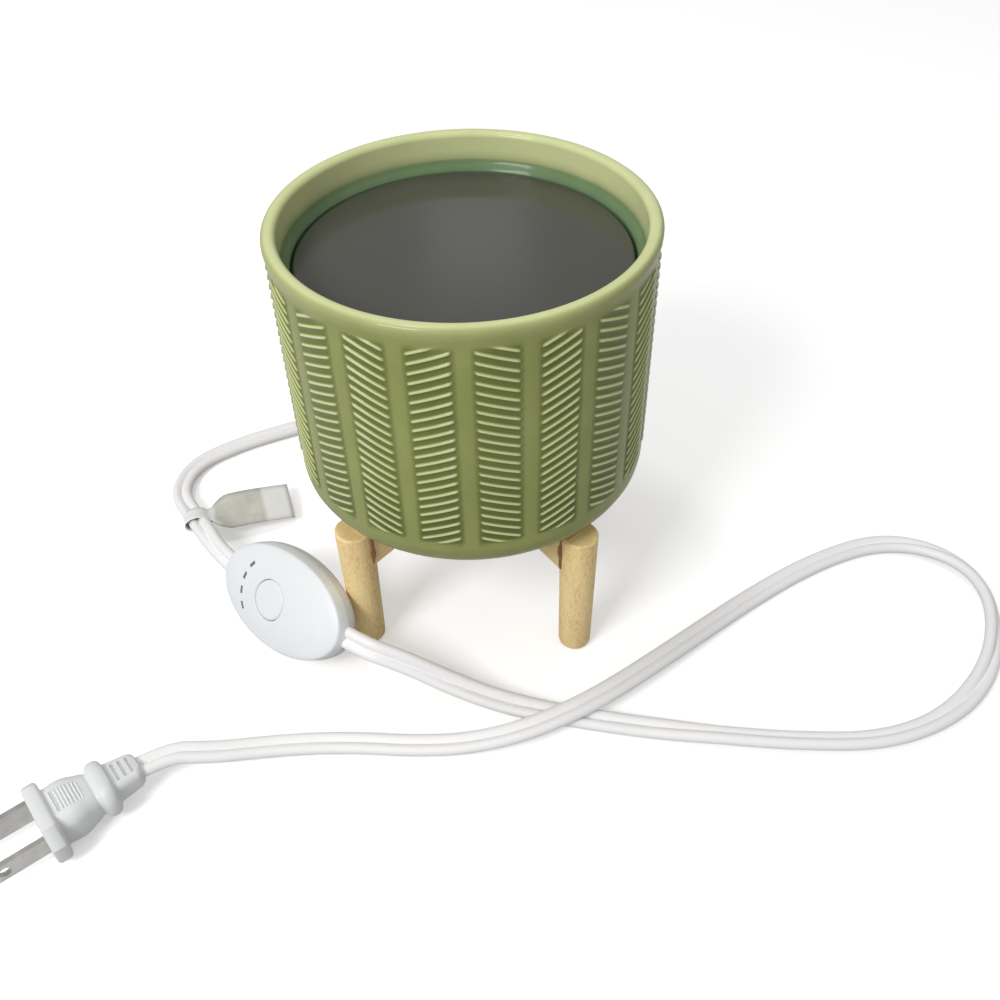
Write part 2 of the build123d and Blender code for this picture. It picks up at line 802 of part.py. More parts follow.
def control_base_shell():
    """The back shell: a shallow rounded tray with posts for the board and the screws."""
    body = loft([oval(-control_back, control_flare), oval(-control_top_depth, control_flare)], ruled=True)
    lowest = body.edges().group_by(Axis.Z)[0]
    body = fillet(lowest, control_back_round)
    cavity = loft([oval(control_floor, control_flare - control_wall),
                   oval(-control_top_depth + overrun, control_flare - control_wall)], ruled=True)
    cavity = fillet(cavity.edges().group_by(Axis.Z)[0], control_back_round - control_wall)
    body = body - cavity
    board_bottom = -board_depth - board_thickness
    for side_u in (-1, 1):
        for side_v in (-1, 1):
            body = body + round_at(board_post_radius, control_floor - control_wall / 2, board_bottom,
                                   board_u + side_u * board_post_u, side_v * board_post_v)
    for side in (-1, 1):
        body = body + round_at(control_post_radius, control_floor - control_wall / 2,
                               -control_split_depth, control_post_u, side * control_post_v)
        body = body - round_at(control_screw_radius + control_screw_fit, -control_back - overrun,
                               overrun, control_post_u, side * control_post_v)
        body = body - round_at(control_screw_head_radius + control_screw_fit,
                               -control_back - overrun, control_screw_seat,
                               control_post_u, side * control_post_v)
    return body - cord_hole()


def control_button():
    """The round button, crowned with the face, with a hidden flange and a stem."""
    flange_top = crown_height(button_u, button_v) - control_wall - button_flange_drop
    flange_bottom = flange_top - button_flange_thickness
    cap = round_at(button_radius, flange_bottom, control_crown + overrun, button_u, button_v)
    cap = cap & crown_dome(0)
    flange = round_at(button_flange_radius, flange_bottom, flange_top, button_u, button_v)
    stem = round_at(stem_radius, plunger_top, flange_top, button_u, button_v)
    return cap + flange + stem


def tact_switch():
    """The switch under the button, with the well that its plunger sinks into."""
    body = block_at((switch_side, switch_side, switch_height), -board_depth, button_u, button_v)
    return body - round_at(plunger_radius + plunger_gap, switch_top - plunger_well,
                           switch_top + overrun, button_u, button_v)


def circuit_board():
    """The board, an oblong with rounded corners."""
    outline = Pos(board_u, 0) * RectangleRounded(board_length, board_width, board_round)
    return Pos(0, 0, -board_depth - board_thickness) * extrude(outline, amount=board_thickness)


def control_screw(side):
    """A small screw from the back shell into the face shell's post."""
    v = side * control_post_v
    head = round_at(control_screw_head_radius, -control_back, control_screw_seat, control_post_u, v)
    return head + round_at(control_screw_radius, control_screw_seat, control_screw_tip,
                           control_post_u, v)


def switch_plunger():
    """The switch's own plunger, which the button's stem stands on."""
    return round_at(plunger_radius, switch_top - plunger_sink, plunger_top, button_u, button_v)


def light_windows():
    """Four clear light guides from the chips up to just under the face."""
    bottom = light_chip_top + light_gap
    return [prism & crown_dome(light_recess) for prism in light_slot(0, bottom, control_crown)]


def light_chips():
    """The four light chips on the board, one under each guide."""
    chips = []
    for u, v, turn in light_places():
        chips.append(Pos(u, v, light_chip_top - light_chip_size[2] / 2) * Rot(0, 0, turn)
                     * Box(*light_chip_size))
    return chips


def cord_clamps():
    """The two blocks that hold the cord's ends on the back shell's floor."""
    half = cord_clamp_size[0] / 2
    return [block_at(cord_clamp_size, control_floor, entry_clamp_u + half, 0),
            block_at(cord_clamp_size, control_floor, -exit_clamp_u - half, 0)]


def board_wires():
    """Four short wires from the cord clamps onto the board."""
    wires = []
    level = -board_depth + wire_radius
    for middle in (entry_clamp_u - wire_length / 2, wire_length / 2 - exit_clamp_u):
        for side in (-1, 1):
            wire = Rot(0, 90, 0) * Cylinder(wire_radius, wire_length)
            wires.append(Pos(middle, side * wire_spacing / 2, level) * wire)
    return wires


# Plug: local X runs out along the blades from the flange's face, and Z is up

def plug_plane():
    """The plug's own plane at the middle of its face."""
    turn = radians(plug_heading)
    outward = Vector(-cos(turn), -sin(turn), 0)
    return Plane(origin=(plug_face[0], plug_face[1], flange_height / 2), x_dir=outward,
                 z_dir=(0, 0, 1))


def cross_section(x, size, corner):
    """A rounded oblong across the plug at a distance from its face."""
    face = Plane.YZ * RectangleRounded(size[0], size[1], corner)
    return Pos(x, 0, 0) * face


def plug_body():
    """The moulded plug: flange, waisted grip, collar and a grooved neck."""
    flange_outline = chamfer(Rectangle(flange_width, flange_height).vertices(), flange_corner)
    flange = extrude(Plane.YZ * flange_outline, amount=-flange_thickness)
    flange = fillet(flange.faces().sort_by(Axis.X)[-1].edges(), flange_edge_round)
    rear = plug_rear
    middle = -flange_thickness - plug_body_length / 2
    grip = loft([cross_section(-flange_thickness, plug_body_front, plug_body_corner),
                 cross_section(middle, plug_body_middle, plug_body_corner),
                 cross_section(rear, plug_body_rear, plug_body_corner)])
    collar_size = (collar_width, collar_height)
    collar = extrude(cross_section(rear, collar_size, collar_corner), amount=-collar_thickness)
    collar = fillet(collar.edges().filter_by(Plane.YZ), collar_round)
    neck_start = rear - collar_thickness
    neck = loft([cross_section(neck_start, neck_size, neck_corner),
                 cross_section(neck_start - neck_length, neck_tip_size, neck_corner)], ruled=True)
    step = neck_length / (neck_groove_count + 1)
    for index in range(neck_groove_count):
        x = neck_start - step * (index + 1)
        for side in (-1, 1):
            slot = Box(neck_groove_width, neck_groove_length, neck_tip_size[1])
            neck = neck - Pos(x, 0, side * (neck_tip_size[1] - neck_groove_depth)) * slot
    body = flange + grip + collar + neck
    for side in (-1, 1):
        pocket = Pos(middle, 0, side * plug_body_middle[1] / 2) * Box(grip_length, grip_width,
                                                                       2 * grip_depth)
        body = body - pocket
    return body - plug_blade(narrow_blade_width, 1) - plug_blade(wide_blade_width, -1)


def plug_blade(width, side):
    """A flat blade with a pointed end and a hole, rooted in the plug."""
    length = blade_length + blade_root
    outline = Rectangle(length, width)
    tips = outline.vertices().group_by(Axis.X)[-1]
    outline = chamfer(tips, blade_point)
    blade = extrude(Plane.XZ * Pos(length / 2 - blade_root, 0) * outline,
                    amount=blade_thickness / 2, both=True)
    hole = Pos(blade_hole_reach, 0, 0) * Rot(90, 0, 0) * Cylinder(blade_hole_radius,
                                                                   blade_thickness + overrun)
    return Pos(0, side * blade_spacing / 2, 0) * (blade - hole)


# Cord

def arc_radii(points):
    """The largest tangent arc that each corner's two runs allow."""
    radii = []
    for before, here, after in zip(points, points[1:], points[2:]):
        first = Vector(*here) - Vector(*before)
        second = Vector(*after) - Vector(*here)
        turn = radians(first.get_angle(second))
        radii.append(bend_share * min(first.length, second.length) / tan(turn / 2))
    return radii


def cord_tube(name, points):
    """A cord's tube along its route, with its radii, length and volume printed."""
    radii = arc_radii(points)
    path = FilletPolyline(*points, radius=radii)
    tube = sweep(Plane(origin=path @ 0, z_dir=path % 0) * Circle(cord_radius), path=path)
    expected = path.length * Circle(cord_radius).area
    print(name, "length", round(path.length, 1), "volume share", round(tube.volume / expected, 4))
    print(name, "radii", [round(radius, 1) for radius in radii])
    return tube


def along_plane(plane, u, v, n):
    """A point of a local plane in the part's own frame."""
    point = plane.from_local_coords((u, v, n))
    return (point.X, point.Y, point.Z)


control = control_plane()
plug = plug_plane()
entry_stop = entry_clamp_u + cord_clamp_size[0]
exit_stop = exit_clamp_u + cord_clamp_size[0]
outlet_cord = [
    (0, boot_tip_y, outlet_height),
    (0, boot_tip_y + straight_run, outlet_height),
    (-2.2, 98.5, 60.5),
    (-6.5, 108.5, 47.0),
    (-14.5, 109.0, 30.5),
    (-26.0, 101.0, 14.5),
    (-40.5, 89.0, 4.6),
    (-58.0, 74.4, cord_floor),
    (-77.2, 65.6, cord_floor),
    (-96.0, 55.4, cord_floor),
    (-109.2, 43.6, 2.4),
    (-111.0, 27.6, 3.3),
    (-102.5, 15.5, 4.1),
    (-95.0, 4.8, 8.4),
    along_plane(control, control_half_length + cord_bend_reach, 0, -control_top_depth),
    along_plane(control, entry_stop, 0, -control_top_depth),
]
mains_cord = [
    along_plane(control, -exit_stop, 0, -control_top_depth),
    along_plane(control, -control_half_length - cord_bend_reach, 0, -control_top_depth),
    (-18.5, -54.0, 14.0),
    (-4.5, -56.8, 8.0),
    (10.0, -59.8, 3.8),
    (26.0, -62.2, cord_floor),
    (48.0, -65.6, cord_floor),
    (70.0, -68.0, cord_floor),
    (96.0, -69.6, cord_floor),
    (122.0, -68.6, cord_floor),
    (143.5, -58.8, cord_floor),
    (158.8, -42.0, cord_floor),
    (165.5, -22.5, cord_floor),
    (165.5, -6.8, cord_floor),
    (158.8, 4.4, cord_floor),
    (147.2, 10.6, cord_floor),
    (134.0, 10.6, cord_floor),
    (120.5, 5.2, cord_floor),
    (105.0, -4.0, cord_floor),
    (88.0, -16.9, 2.4),
    (72.0, -31.0, 3.6),
    (57.5, -45.1, 6.4),
    (43.5, -57.2, 7.8),
    (30.0, -66.2, 7.8),
    (16.0, -72.1, 5.8),
    (1.0, -74.6, 3.4),
    (-14.0, -75.0, cord_floor),
    (-29.0, -74.6, cord_floor),
    (-44.0, -75.2, 2.4),
    (-58.5, -77.4, 3.4),
    (-71.0, -80.8, 5.6),
    along_plane(plug, -plug_length - plug_bend_reach, 0, 0),
    along_plane(plug, -plug_length, 0, 0),
]


def cord_tag(route):
    """A paper label folded round the cord, with its free end lying to the right."""
    start = Vector(*route[-5])
    end = Vector(*route[-4])
    middle = start + (end - start) * tag_place_share
    run = (end - start).normalized()
    outer = tag_loop_radius + tag_thickness
    loop = extrude(Circle(outer), amount=tag_loop_width / 2, both=True)
    leaf = Pos(outer + tag_length / 2 - tag_thickness, 0, 0) * Box(
        tag_length, 2 * tag_thickness, tag_width)
    leaf = Pos(tag_loop_radius, 0, 0) * Rot(0, tag_skew, 0) * Pos(-tag_loop_radius, 0, 0) * leaf
    bore = extrude(Circle(tag_loop_radius), amount=tag_width, both=True)
    level = Vector(0, 0, 1).cross(run).normalized()
    sideways = level - Vector(0, 0, sin(radians(tag_droop)))
    return Plane(origin=middle, x_dir=sideways, z_dir=run).location * (loop + leaf - bore)


def on_control(shape):
    """Move a shape, or a list of them, from the control's frame to the part's."""
    if isinstance(shape, list):
        return Compound(children=[on_control(one) for one in shape])
    return control.location * shape


def stand_nodes():
    """The legs, the crossed bars and their pegs."""
    parts = {name: leg(angle) for name, angle in zip(leg_names, leg_angles)}
    parts["cross_bar_lower"] = cross_bar(leg_angles[0], True)
    parts["cross_bar_upper"] = cross_bar(leg_angles[1], False)
    parts["leg_dowels"] = Compound(children=[dowel(angle, 0) for angle in leg_angles])
    return parts


def pot_nodes():
    """The pot, the hot plate's stack and the tie rod that draws all of it together."""
    hole = rod_radius + rod_fit
    hub_face = hub_bottom - clamp_thickness
    clamp_nut_top = hub_face - washer_thickness
    stand_nut_top = crossing_underside - washer_thickness
    rod_bottom = stand_nut_top - nut_height - rod_tail
    return {
        "pot_shell": pot_shell(),
        "warming_plate": warming_plate(),
        "plate_gasket": ring(gasket_radius, gasket_inner_radius, seat_height, plate_underside),
        "heater_element": ring(heater_radius, hole, heater_bottom, plate_underside),
        "insulation_disc": ring(insulation_radius, hole, insulation_bottom, heater_bottom),
        "clamp_plate": clamp_plate(),
        "clamp_washer": ring(washer_radius, hole, clamp_nut_top, hub_face),
        "clamp_nut": hexagon_nut(clamp_nut_top - nut_height),
        "tie_rod": upright(rod_radius, rod_bottom, plate_underside),
        "base_cover": base_cover(),
        "stand_washer": ring(washer_radius, hole, stand_nut_top, crossing_underside),
        "stand_nut": hexagon_nut(stand_nut_top - nut_height),
    }


def wiring_nodes():
    """The cord outlet, the safety parts on the clamp plate and the leads between them."""
    tail = extrude(Plane.XZ * Circle(cord_radius), amount=tail_length)
    screws = [clamp_screw(x, y, seat) for x, y, seat in clamp_screw_places()]
    return {
        "cord_outlet": cord_outlet(),
        "outlet_lock_ring": outlet_lock_ring(),
        "supply_tail": Pos(0, barrel_end_y, outlet_height) * tail,
        "supply_cores": Compound(children=[supply_core(side) for side in (-1, 1)]),
        "crimp_caps": Compound(children=[crimp_cap(side) for side in (-1, 1)]),
        "thermostat": thermostat(),
        "thermal_fuse": thermal_fuse(),
        "fuse_clip": fuse_clip(),
        "clamp_screws": Compound(children=screws),
        "heater_lead": heater_lead(),
        "thermostat_lead": thermostat_lead(),
        "fuse_lead": fuse_lead(),
        "fuse_tail": fuse_tail(),
    }


def control_nodes():
    """The inline control with its button, lights and board."""
    return {
        "controller_top_shell": on_control(control_top_shell()),
        "controller_base_shell": on_control(control_base_shell()),
        "control_button": on_control(control_button()),
        "switch_plunger": on_control(switch_plunger()),
        "tact_switch": on_control(tact_switch()),
        "light_windows": on_control(light_windows()),
        "light_chips": on_control(light_chips()),
        "circuit_board": on_control(circuit_board()),
        "film_capacitor": on_control(block_at(capacitor_size, -board_depth, *capacitor_place)),
        "triac": on_control(block_at(triac_size, -board_depth, *triac_place)),
        "timer_chip": on_control(block_at(timer_chip_size, -board_depth - board_thickness
                                          - timer_chip_size[2], *timer_chip_place)),
        "cord_clamps": on_control(cord_clamps()),
        "board_wires": on_control(board_wires()),
        "controller_screws": on_control([control_screw(side) for side in (-1, 1)]),
    }


def cord_nodes():
    """The two stretches of cord, the label and the plug."""
    return {
        "cord_pot_to_controller": cord_tube("cord_pot_to_controller", outlet_cord),
        "cord_controller_to_plug": cord_tube("cord_controller_to_plug", mains_cord),
        "cord_tag": cord_tag(outlet_cord),
        "plug_body": plug.location * plug_body(),
        "plug_blade_narrow": plug.location * plug_blade(narrow_blade_width, 1),
        "plug_blade_wide": plug.location * plug_blade(wide_blade_width, -1),
    }


if __name__ == "__main__":
    os.makedirs("parts", exist_ok=True)
    for group in (stand_nodes, pot_nodes, wiring_nodes, control_nodes, cord_nodes):
        for node, shape in group().items():
            save(node, shape)
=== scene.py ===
from math import cos, pi, radians, sin, sqrt

import bpy
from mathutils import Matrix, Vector


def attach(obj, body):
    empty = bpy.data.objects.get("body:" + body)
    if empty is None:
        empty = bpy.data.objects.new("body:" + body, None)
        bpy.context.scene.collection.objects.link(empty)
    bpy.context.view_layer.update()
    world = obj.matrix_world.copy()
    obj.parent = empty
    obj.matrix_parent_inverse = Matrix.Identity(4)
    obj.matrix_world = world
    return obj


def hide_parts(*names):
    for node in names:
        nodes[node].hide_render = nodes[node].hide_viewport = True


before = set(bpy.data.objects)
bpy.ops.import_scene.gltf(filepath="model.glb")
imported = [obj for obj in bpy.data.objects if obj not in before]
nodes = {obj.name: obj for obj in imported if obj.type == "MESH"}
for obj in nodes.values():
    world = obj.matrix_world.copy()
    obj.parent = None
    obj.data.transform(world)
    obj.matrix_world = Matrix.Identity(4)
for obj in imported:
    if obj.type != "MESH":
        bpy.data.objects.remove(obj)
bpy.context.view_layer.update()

scene = bpy.context.scene
scene.view_settings.view_transform = "Standard"


# Camera
# It stands where the photograph was taken from: in front, a little to the right and well
# above the pot's mouth, looking down at about forty-four degrees.

lens = bpy.data.cameras.new("camera")
lens.lens = 37.47
lens.sensor_width = 36
lens.clip_start = 0.01
camera = bpy.data.objects.new("camera", lens)
camera.location = (0.02377, -0.24115, 0.26134)
camera.rotation_euler = (radians(46.125), radians(0.979), radians(2.82))
scene.collection.objects.link(camera)
scene.camera = camera


# Flat twin cord from the pot to the inline control
# Two stranded cores in one white vinyl jacket with a groove along the middle. It drops from
# the outlet behind the pot and lies flat on the table until it climbs to the control.

cord_width = 0.0069
cord_thickness = 0.00345
web_share = 0.40
lobe_steps = 12


def new_material(name):
    """A new material with its node tree and its shader."""
    material = bpy.data.materials.new(name)
    material.use_nodes = True
    return material, material.node_tree, material.node_tree.nodes["Principled BSDF"]


def add_noise(tree, vector, scale, detail):
    """A noise texture that reads the given coordinates."""
    noise = tree.nodes.new("ShaderNodeTexNoise")
    noise.inputs["Scale"].default_value = scale
    noise.inputs["Detail"].default_value = detail
    tree.links.new(vector, noise.inputs["Vector"])
    return noise


def add_ramp(tree, first, last, *between):
    """A colour ramp with the given stops, each a position and a colour."""
    ramp = tree.nodes.new("ShaderNodeValToRGB")
    stops = ramp.color_ramp.elements
    for stop, (position, colour) in zip((stops[0], stops[1]), (first, last)):
        stop.position = position
        stop.color = (*colour, 1.0)
    for position, colour in between:
        stops.new(position).color = (*colour, 1.0)
    return ramp


def moulded(name, low, high, scale, roughness, grain=2500.0, depth=0.00002, metallic=0.0):
    """A finish whose colour drifts between two shades, over a fine grain."""
    material, tree, shader = new_material(name)
    shader.inputs["Metallic"].default_value = metallic
    place = tree.nodes.new("ShaderNodeTexCoord")
    drift = add_noise(tree, place.outputs["Object"], scale, 4.0)
    shades = add_ramp(tree, (0.3, low), (0.7, high))
    wear = tree.nodes.new("ShaderNodeMapRange")
    wear.inputs["To Min"].default_value = roughness * 0.85
    wear.inputs["To Max"].default_value = min(1.0, roughness * 1.2)
    fine = add_noise(tree, place.outputs["Object"], grain, 2.0)
    bump = tree.nodes.new("ShaderNodeBump")
    bump.inputs["Distance"].default_value = depth
    bump.inputs["Strength"].default_value = 0.6
    tree.links.new(drift.outputs["Fac"], shades.inputs["Fac"])
    tree.links.new(shades.outputs["Color"], shader.inputs["Base Color"])
    tree.links.new(drift.outputs["Fac"], wear.inputs["Value"])
    tree.links.new(wear.outputs["Result"], shader.inputs["Roughness"])
    tree.links.new(fine.outputs["Fac"], bump.inputs["Height"])
    tree.links.new(bump.outputs["Normal"], shader.inputs["Normal"])
    return material


vinyl = moulded("white_vinyl", (0.92, 0.91, 0.91), (0.92, 0.91, 0.91), 40.0, 0.42)


def lattice(rows, columns, wrap=True):
    """The faces of a grid of points, row after row, closed round each row when it wraps."""
    faces = []
    for row in range(rows - 1):
        for column in range(columns if wrap else columns - 1):
            after = (column + 1) % columns
            low = row * columns
            faces.append((low + column, low + after,
                          low + columns + after, low + columns + column))
    return faces


def make_piece(name, points, faces, material, body="warmer", crease=50.0):
    """A smooth-shaded piece that rides on one of the part's bodies."""
    mesh = bpy.data.meshes.new(name)
    mesh.from_pydata([tuple(point) for point in points], [], faces)
    mesh.validate()
    mesh.shade_smooth()
    mesh.set_sharp_from_angle(angle=radians(crease))
    mesh.materials.append(material)
    made = bpy.data.objects.new(name, mesh)
    scene.collection.objects.link(made)
    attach(made, body)
    return made


def route_line(route):
    """The points of the smooth spline that a cord's route controls."""
    curve = bpy.data.curves.new("route", "CURVE")
    curve.dimensions = "3D"
    curve.resolution_u = 12
    spline = curve.splines.new("NURBS")
    spline.points.add(len(route) - 1)
    for control, place in zip(spline.points, route):
        control.co = (*place, 1.0)
    spline.order_u = 3
    spline.use_endpoint_u = True
    holder = bpy.data.objects.new("route", curve)
    mesh = bpy.data.meshes.new_from_object(holder)
    line = [vertex.co.copy() for vertex in mesh.vertices]
    bpy.data.objects.remove(holder)
    bpy.data.meshes.remove(mesh)
    return line


def eased(value, low, high):
    """A smooth step from nought at low to one at high."""
    share = min(1.0, max(0.0, (value - low) / (high - low)))
    return share * share * (3 - 2 * share)


def line_frames(line, leans):
    """At each point of a line: the way across the flat cord and the way out of its flat side."""
    gone = [0.0]
    for here, after in zip(line, line[1:]):
        gone.append(gone[-1] + (after - here).length)
    frames = []
    for index, here in enumerate(line):
        ahead = line[min(index + 1, len(line) - 1)] - line[max(index - 1, 0)]
        ahead.normalize()
        flat = Vector((0, 0, 1)).cross(ahead).normalized()
        upward = ahead.cross(flat)
        share = gone[index] / gone[-1]
        lean = leans[-1][1]
        for (start, first), (end, last) in zip(leans, leans[1:]):
            if start <= share <= end:
                lean = first + (last - first) * eased(share, start, end)
                break
        lean = radians(lean)
        across = flat * cos(lean) + upward * sin(lean)
        frames.append((across, ahead.cross(across)))
    return frames


def twin_cord(name, line, leans):
    """A flat twin cord swept along a line, leaning over as the stations say."""
    lobe = cord_thickness / 2
    offset = cord_width / 2 - lobe
    outline = []
    for step in range(lobe_steps + 1):
        angle = radians(-135 + 270 * step / lobe_steps)
        outline.append((offset + lobe * cos(angle), lobe * sin(angle)))
    outline.append((0.0, web_share * lobe))
    for step in range(lobe_steps + 1):
        angle = radians(135 - 270 * step / lobe_steps)
        outline.append((-offset - lobe * cos(angle), lobe * sin(angle)))
    outline.append((0.0, -web_share * lobe))
    points = []
    for here, (across, upward) in zip(line, line_frames(line, leans)):
        points += [here + across * wide + upward * high for wide, high in outline]
    count = len(outline)
    faces = lattice(len(line), count)
    faces.append(tuple(reversed(range(count))))
    faces.append(tuple(range(len(points) - count, len(points))))
    return make_piece(name, points, faces, vinyl, crease=75.0)


outlet_route = [
    (0.0, 0.0690, 0.0660), (0.0, 0.0837, 0.0660), (-0.0022, 0.0985, 0.0605),
    (-0.0065, 0.1085, 0.0470), (-0.0145, 0.1090, 0.0305), (-0.0260, 0.1010, 0.0145),
    (-0.0405, 0.0890, 0.0044), (-0.0580, 0.0744, 0.0018), (-0.0772, 0.0656, 0.0018),
    (-0.0960, 0.0554, 0.0018), (-0.1092, 0.0436, 0.0020), (-0.1110, 0.0276, 0.0029),
    (-0.1025, 0.0155, 0.0041), (-0.0950, 0.0048, 0.0084), (-0.0822, -0.0130, 0.0123),
    (-0.0745, -0.0189, 0.0132),
]
outlet_line = route_line(outlet_route)
outlet_leans = [(0.0, 0.0), (0.84, 0.0), (0.95, 52.0), (1.0, 56.0)]
outlet_cord = twin_cord("cord_pot_to_controller_jacket", outlet_line, outlet_leans)
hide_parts("cord_pot_to_controller")


# Flat twin cord from the control to the plug
# The same cord, all of it in view: a long stretch to the right, a wide loop where it rolls
# partly on edge, then back over itself in a low hump to the plug at the front left.

mains_route = [
    (-0.0427, -0.0433, 0.0168), (-0.0314, -0.0520, 0.0180), (-0.0185, -0.0540, 0.0140),
    (-0.0045, -0.0568, 0.0080), (0.0100, -0.0598, 0.0036), (0.0260, -0.0622, 0.0018),
    (0.0480, -0.0656, 0.0018), (0.0700, -0.0680, 0.0023), (0.0960, -0.0696, 0.0024),
    (0.1220, -0.0686, 0.0024), (0.1435, -0.0588, 0.0022), (0.1588, -0.0420, 0.0027),
    (0.1655, -0.0225, 0.0033), (0.1655, -0.0068, 0.0032), (0.1588, 0.0044, 0.0027),
    (0.1472, 0.0106, 0.0021), (0.1340, 0.0106, 0.0018), (0.1205, 0.0052, 0.0018),
    (0.1050, -0.0040, 0.0018), (0.0880, -0.0169, 0.0020), (0.0720, -0.0310, 0.0032),
    (0.0575, -0.0442, 0.0050), (0.0435, -0.0560, 0.0058), (0.0300, -0.0650, 0.0058),
    (0.0160, -0.0712, 0.0044), (0.0010, -0.0743, 0.0026), (-0.0140, -0.0750, 0.0018),
    (-0.0290, -0.0746, 0.0018), (-0.0440, -0.0754, 0.0020), (-0.0585, -0.0780, 0.0030),
    (-0.0710, -0.0816, 0.0052), (-0.0830, -0.0832, 0.0075), (-0.0935, -0.0923, 0.0075),
]
mains_line = route_line(mains_route)
mains_leans = [(0.0, 56.0), (0.05, 50.0), (0.10, 22.0), (0.14, 3.0), (0.18, 0.0), (0.23, -22.0),
               (0.33, -22.0), (0.44, 56.0), (0.53, 0.0), (1.0, 0.0)]
mains_cord = twin_cord("cord_controller_to_plug_jacket", mains_line, mains_leans)
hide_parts("cord_controller_to_plug")


# Cord outlet
# A soft moulded bushing in the pot's back wall: a round flange, a barrel through the wall and
# a tapered boot with flexing grooves, oval where the flat cord leaves it.

outlet_height = 0.066
outlet_sides = 40
white_rubber = moulded("white_moulding", (0.72, 0.72, 0.72), (0.80, 0.80, 0.80), 60.0, 0.5)
outlet_rings = [
    (0.0398, 0.0001, 0.0001), (0.0398, 0.0046, 0.0046), (0.0402, 0.00485, 0.00485),
    (0.0500, 0.00485, 0.00485), (0.0502, 0.0074, 0.0074), (0.0506, 0.0079, 0.0079),
    (0.0518, 0.0080, 0.0080), (0.0521, 0.0077, 0.0077), (0.0523, 0.0070, 0.0070),
    (0.0524, 0.0058, 0.0055), (0.0530, 0.0053, 0.0050),
]
for groove in range(5):
    start = 0.0545 + 0.0031 * groove
    wide = 0.0052 - 0.00022 * groove
    high = 0.0048 - 0.00034 * groove
    outlet_rings += [(start, wide, high), (start + 0.0003, wide - 0.0007, high - 0.0007),
                     (start + 0.0012, wide - 0.0008, high - 0.0008), (start + 0.0015, wide, high)]
outlet_rings += [(0.0708, 0.0042, 0.0031), (0.0718, 0.0041, 0.0030), (0.0722, 0.0037, 0.0026),
                 (0.0722, 0.0001, 0.0001)]
outlet_points = []
for depth, wide, high in outlet_rings:
    for step in range(outlet_sides):
        turn = 2 * pi * step / outlet_sides
        outlet_points.append((wide * cos(turn), depth, outlet_height - high * sin(turn)))
outlet_boot = make_piece("cord_outlet_boot", outlet_points,
                         lattice(len(outlet_rings), outlet_sides), white_rubber, crease=40.0)
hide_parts("cord_outlet")


# Label on the cord
# A strip of coated paper taken round the cord and stuck to itself, so that its doubled end
# stands off to the right with a twist. It is left bare. Its paper is painted grey over the
# middle as painted shade, and pale by the cord and at its end as painted light.

label_reach = 33.0
label_width = 15.5
label_neck = 8.5
label_skew, label_twist = radians(14), radians(26)
leaf_start, leaf_lift, leaf_steps = 5.4, 0.16, 16
neck_end, twist_end, pale_end = 5.0, 12.0, 23.0
turn_points, across_points = 15, 7
paper = moulded("label_paper", (0.50, 0.50, 0.44), (0.65, 0.65, 0.58), 160.0, 0.5, grain=900.0)
tree = paper.node_tree
shader = tree.nodes["Principled BSDF"]
painted_light_band = tree.nodes.new("ShaderNodeAttribute")
painted_light_band.attribute_name = "painted_light_band"
# Painted light: where the mask is set, the grey paper is lifted to a pale white.
pale = tree.nodes.new("ShaderNodeMix")
pale.data_type = "RGBA"
pale.inputs["B"].default_value = (0.90, 0.90, 0.88, 1.0)
tree.links.new(shader.inputs["Base Color"].links[0].from_socket, pale.inputs["A"])
tree.links.new(painted_light_band.outputs["Fac"], pale.inputs["Factor"])
tree.links.new(pale.outputs["Result"], shader.inputs["Base Color"])
cord_before, cord_after = Vector((-102.5, 15.5, 4.1)), Vector((-95.0, 4.8, 8.4))
label_run = (cord_after - cord_before).normalized()
label_middle = cord_before.lerp(cord_after, 0.45)
label_level = Vector((0, 0, 1)).cross(label_run).normalized() - Vector((0, 0, 0.07))
label_out = label_level * cos(label_skew) + label_run * sin(label_skew)
label_wide = label_run * cos(label_skew) - label_level * sin(label_skew)
label_up = label_wide.cross(label_out).normalized()
if label_up.z < 0:
    label_up = -label_up


def label_curl(reach):
    """How far the stuck leaves rise or fall at a distance from the cord."""
    share = reach / label_reach
    return 1.1 * sin(pi * share) * (1 - 0.4 * share) - 1.6 * share * share


def label_leaf(steps, lift):
    """One leaf's stations: the distance from the cord, the height and the width."""
    leaf = []
    for step in steps:
        reach = leaf_start + (label_reach - leaf_start) * step / leaf_steps
        width = min(label_width, label_neck + (reach - neck_end) * 6)
        leaf.append((reach, label_curl(reach) + lift, width))
    return leaf


label_path = label_leaf(range(leaf_steps, -1, -1), leaf_lift)
for step in range(turn_points):
    turn = radians(20 + 320 * step / (turn_points - 1))
    label_path.append((4.2 * cos(turn), 2.6 * sin(turn), label_neck))
label_path += label_leaf(range(leaf_steps + 1), -leaf_lift)
label_points = []
label_painted_light_band = []
for index, (reach, height, width) in enumerate(label_path):
    on_turn = leaf_steps < index < leaf_steps + 1 + turn_points
    share = 0.0 if on_turn else min(1.0, max(0.0, (reach - neck_end) / (twist_end - neck_end)))
    twist = label_twist * share * share * (3 - 2 * share)
    across = label_wide * cos(twist) - label_up * sin(twist)
    above = label_up * cos(twist) + label_wide * sin(twist)
    for step in range(across_points):
        side = width * (step / (across_points - 1) - 0.5)
        sag = -0.35 * (side / (label_width / 2)) ** 2 * max(0.0, reach / label_reach)
        place = label_middle + label_out * reach + above * (height + sag) + across * side
        label_points.append(place / 1000)
        # The mask is set by the cord and past pale_end: painted light there, painted shade
        # between.
        label_painted_light_band.append(max(1 - share * 4, 0.85 * (reach > pale_end)))
label = make_piece("cord_label", label_points,
                   lattice(len(label_path), across_points, wrap=False), paper)
thickness = label.modifiers.new("thickness", "SOLIDIFY")
thickness.thickness = 0.00022
thickness.offset = 0.0
layer = label.data.attributes.new("painted_light_band", "FLOAT", "POINT")
layer.data.foreach_set("value", label_painted_light_band)
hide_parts("cord_tag")


# Plug
# One white moulding on the cord's end: a chamfered flange, a waisted grip with a ridged pad
# above and below, a round collar and a neck with flexing grooves.

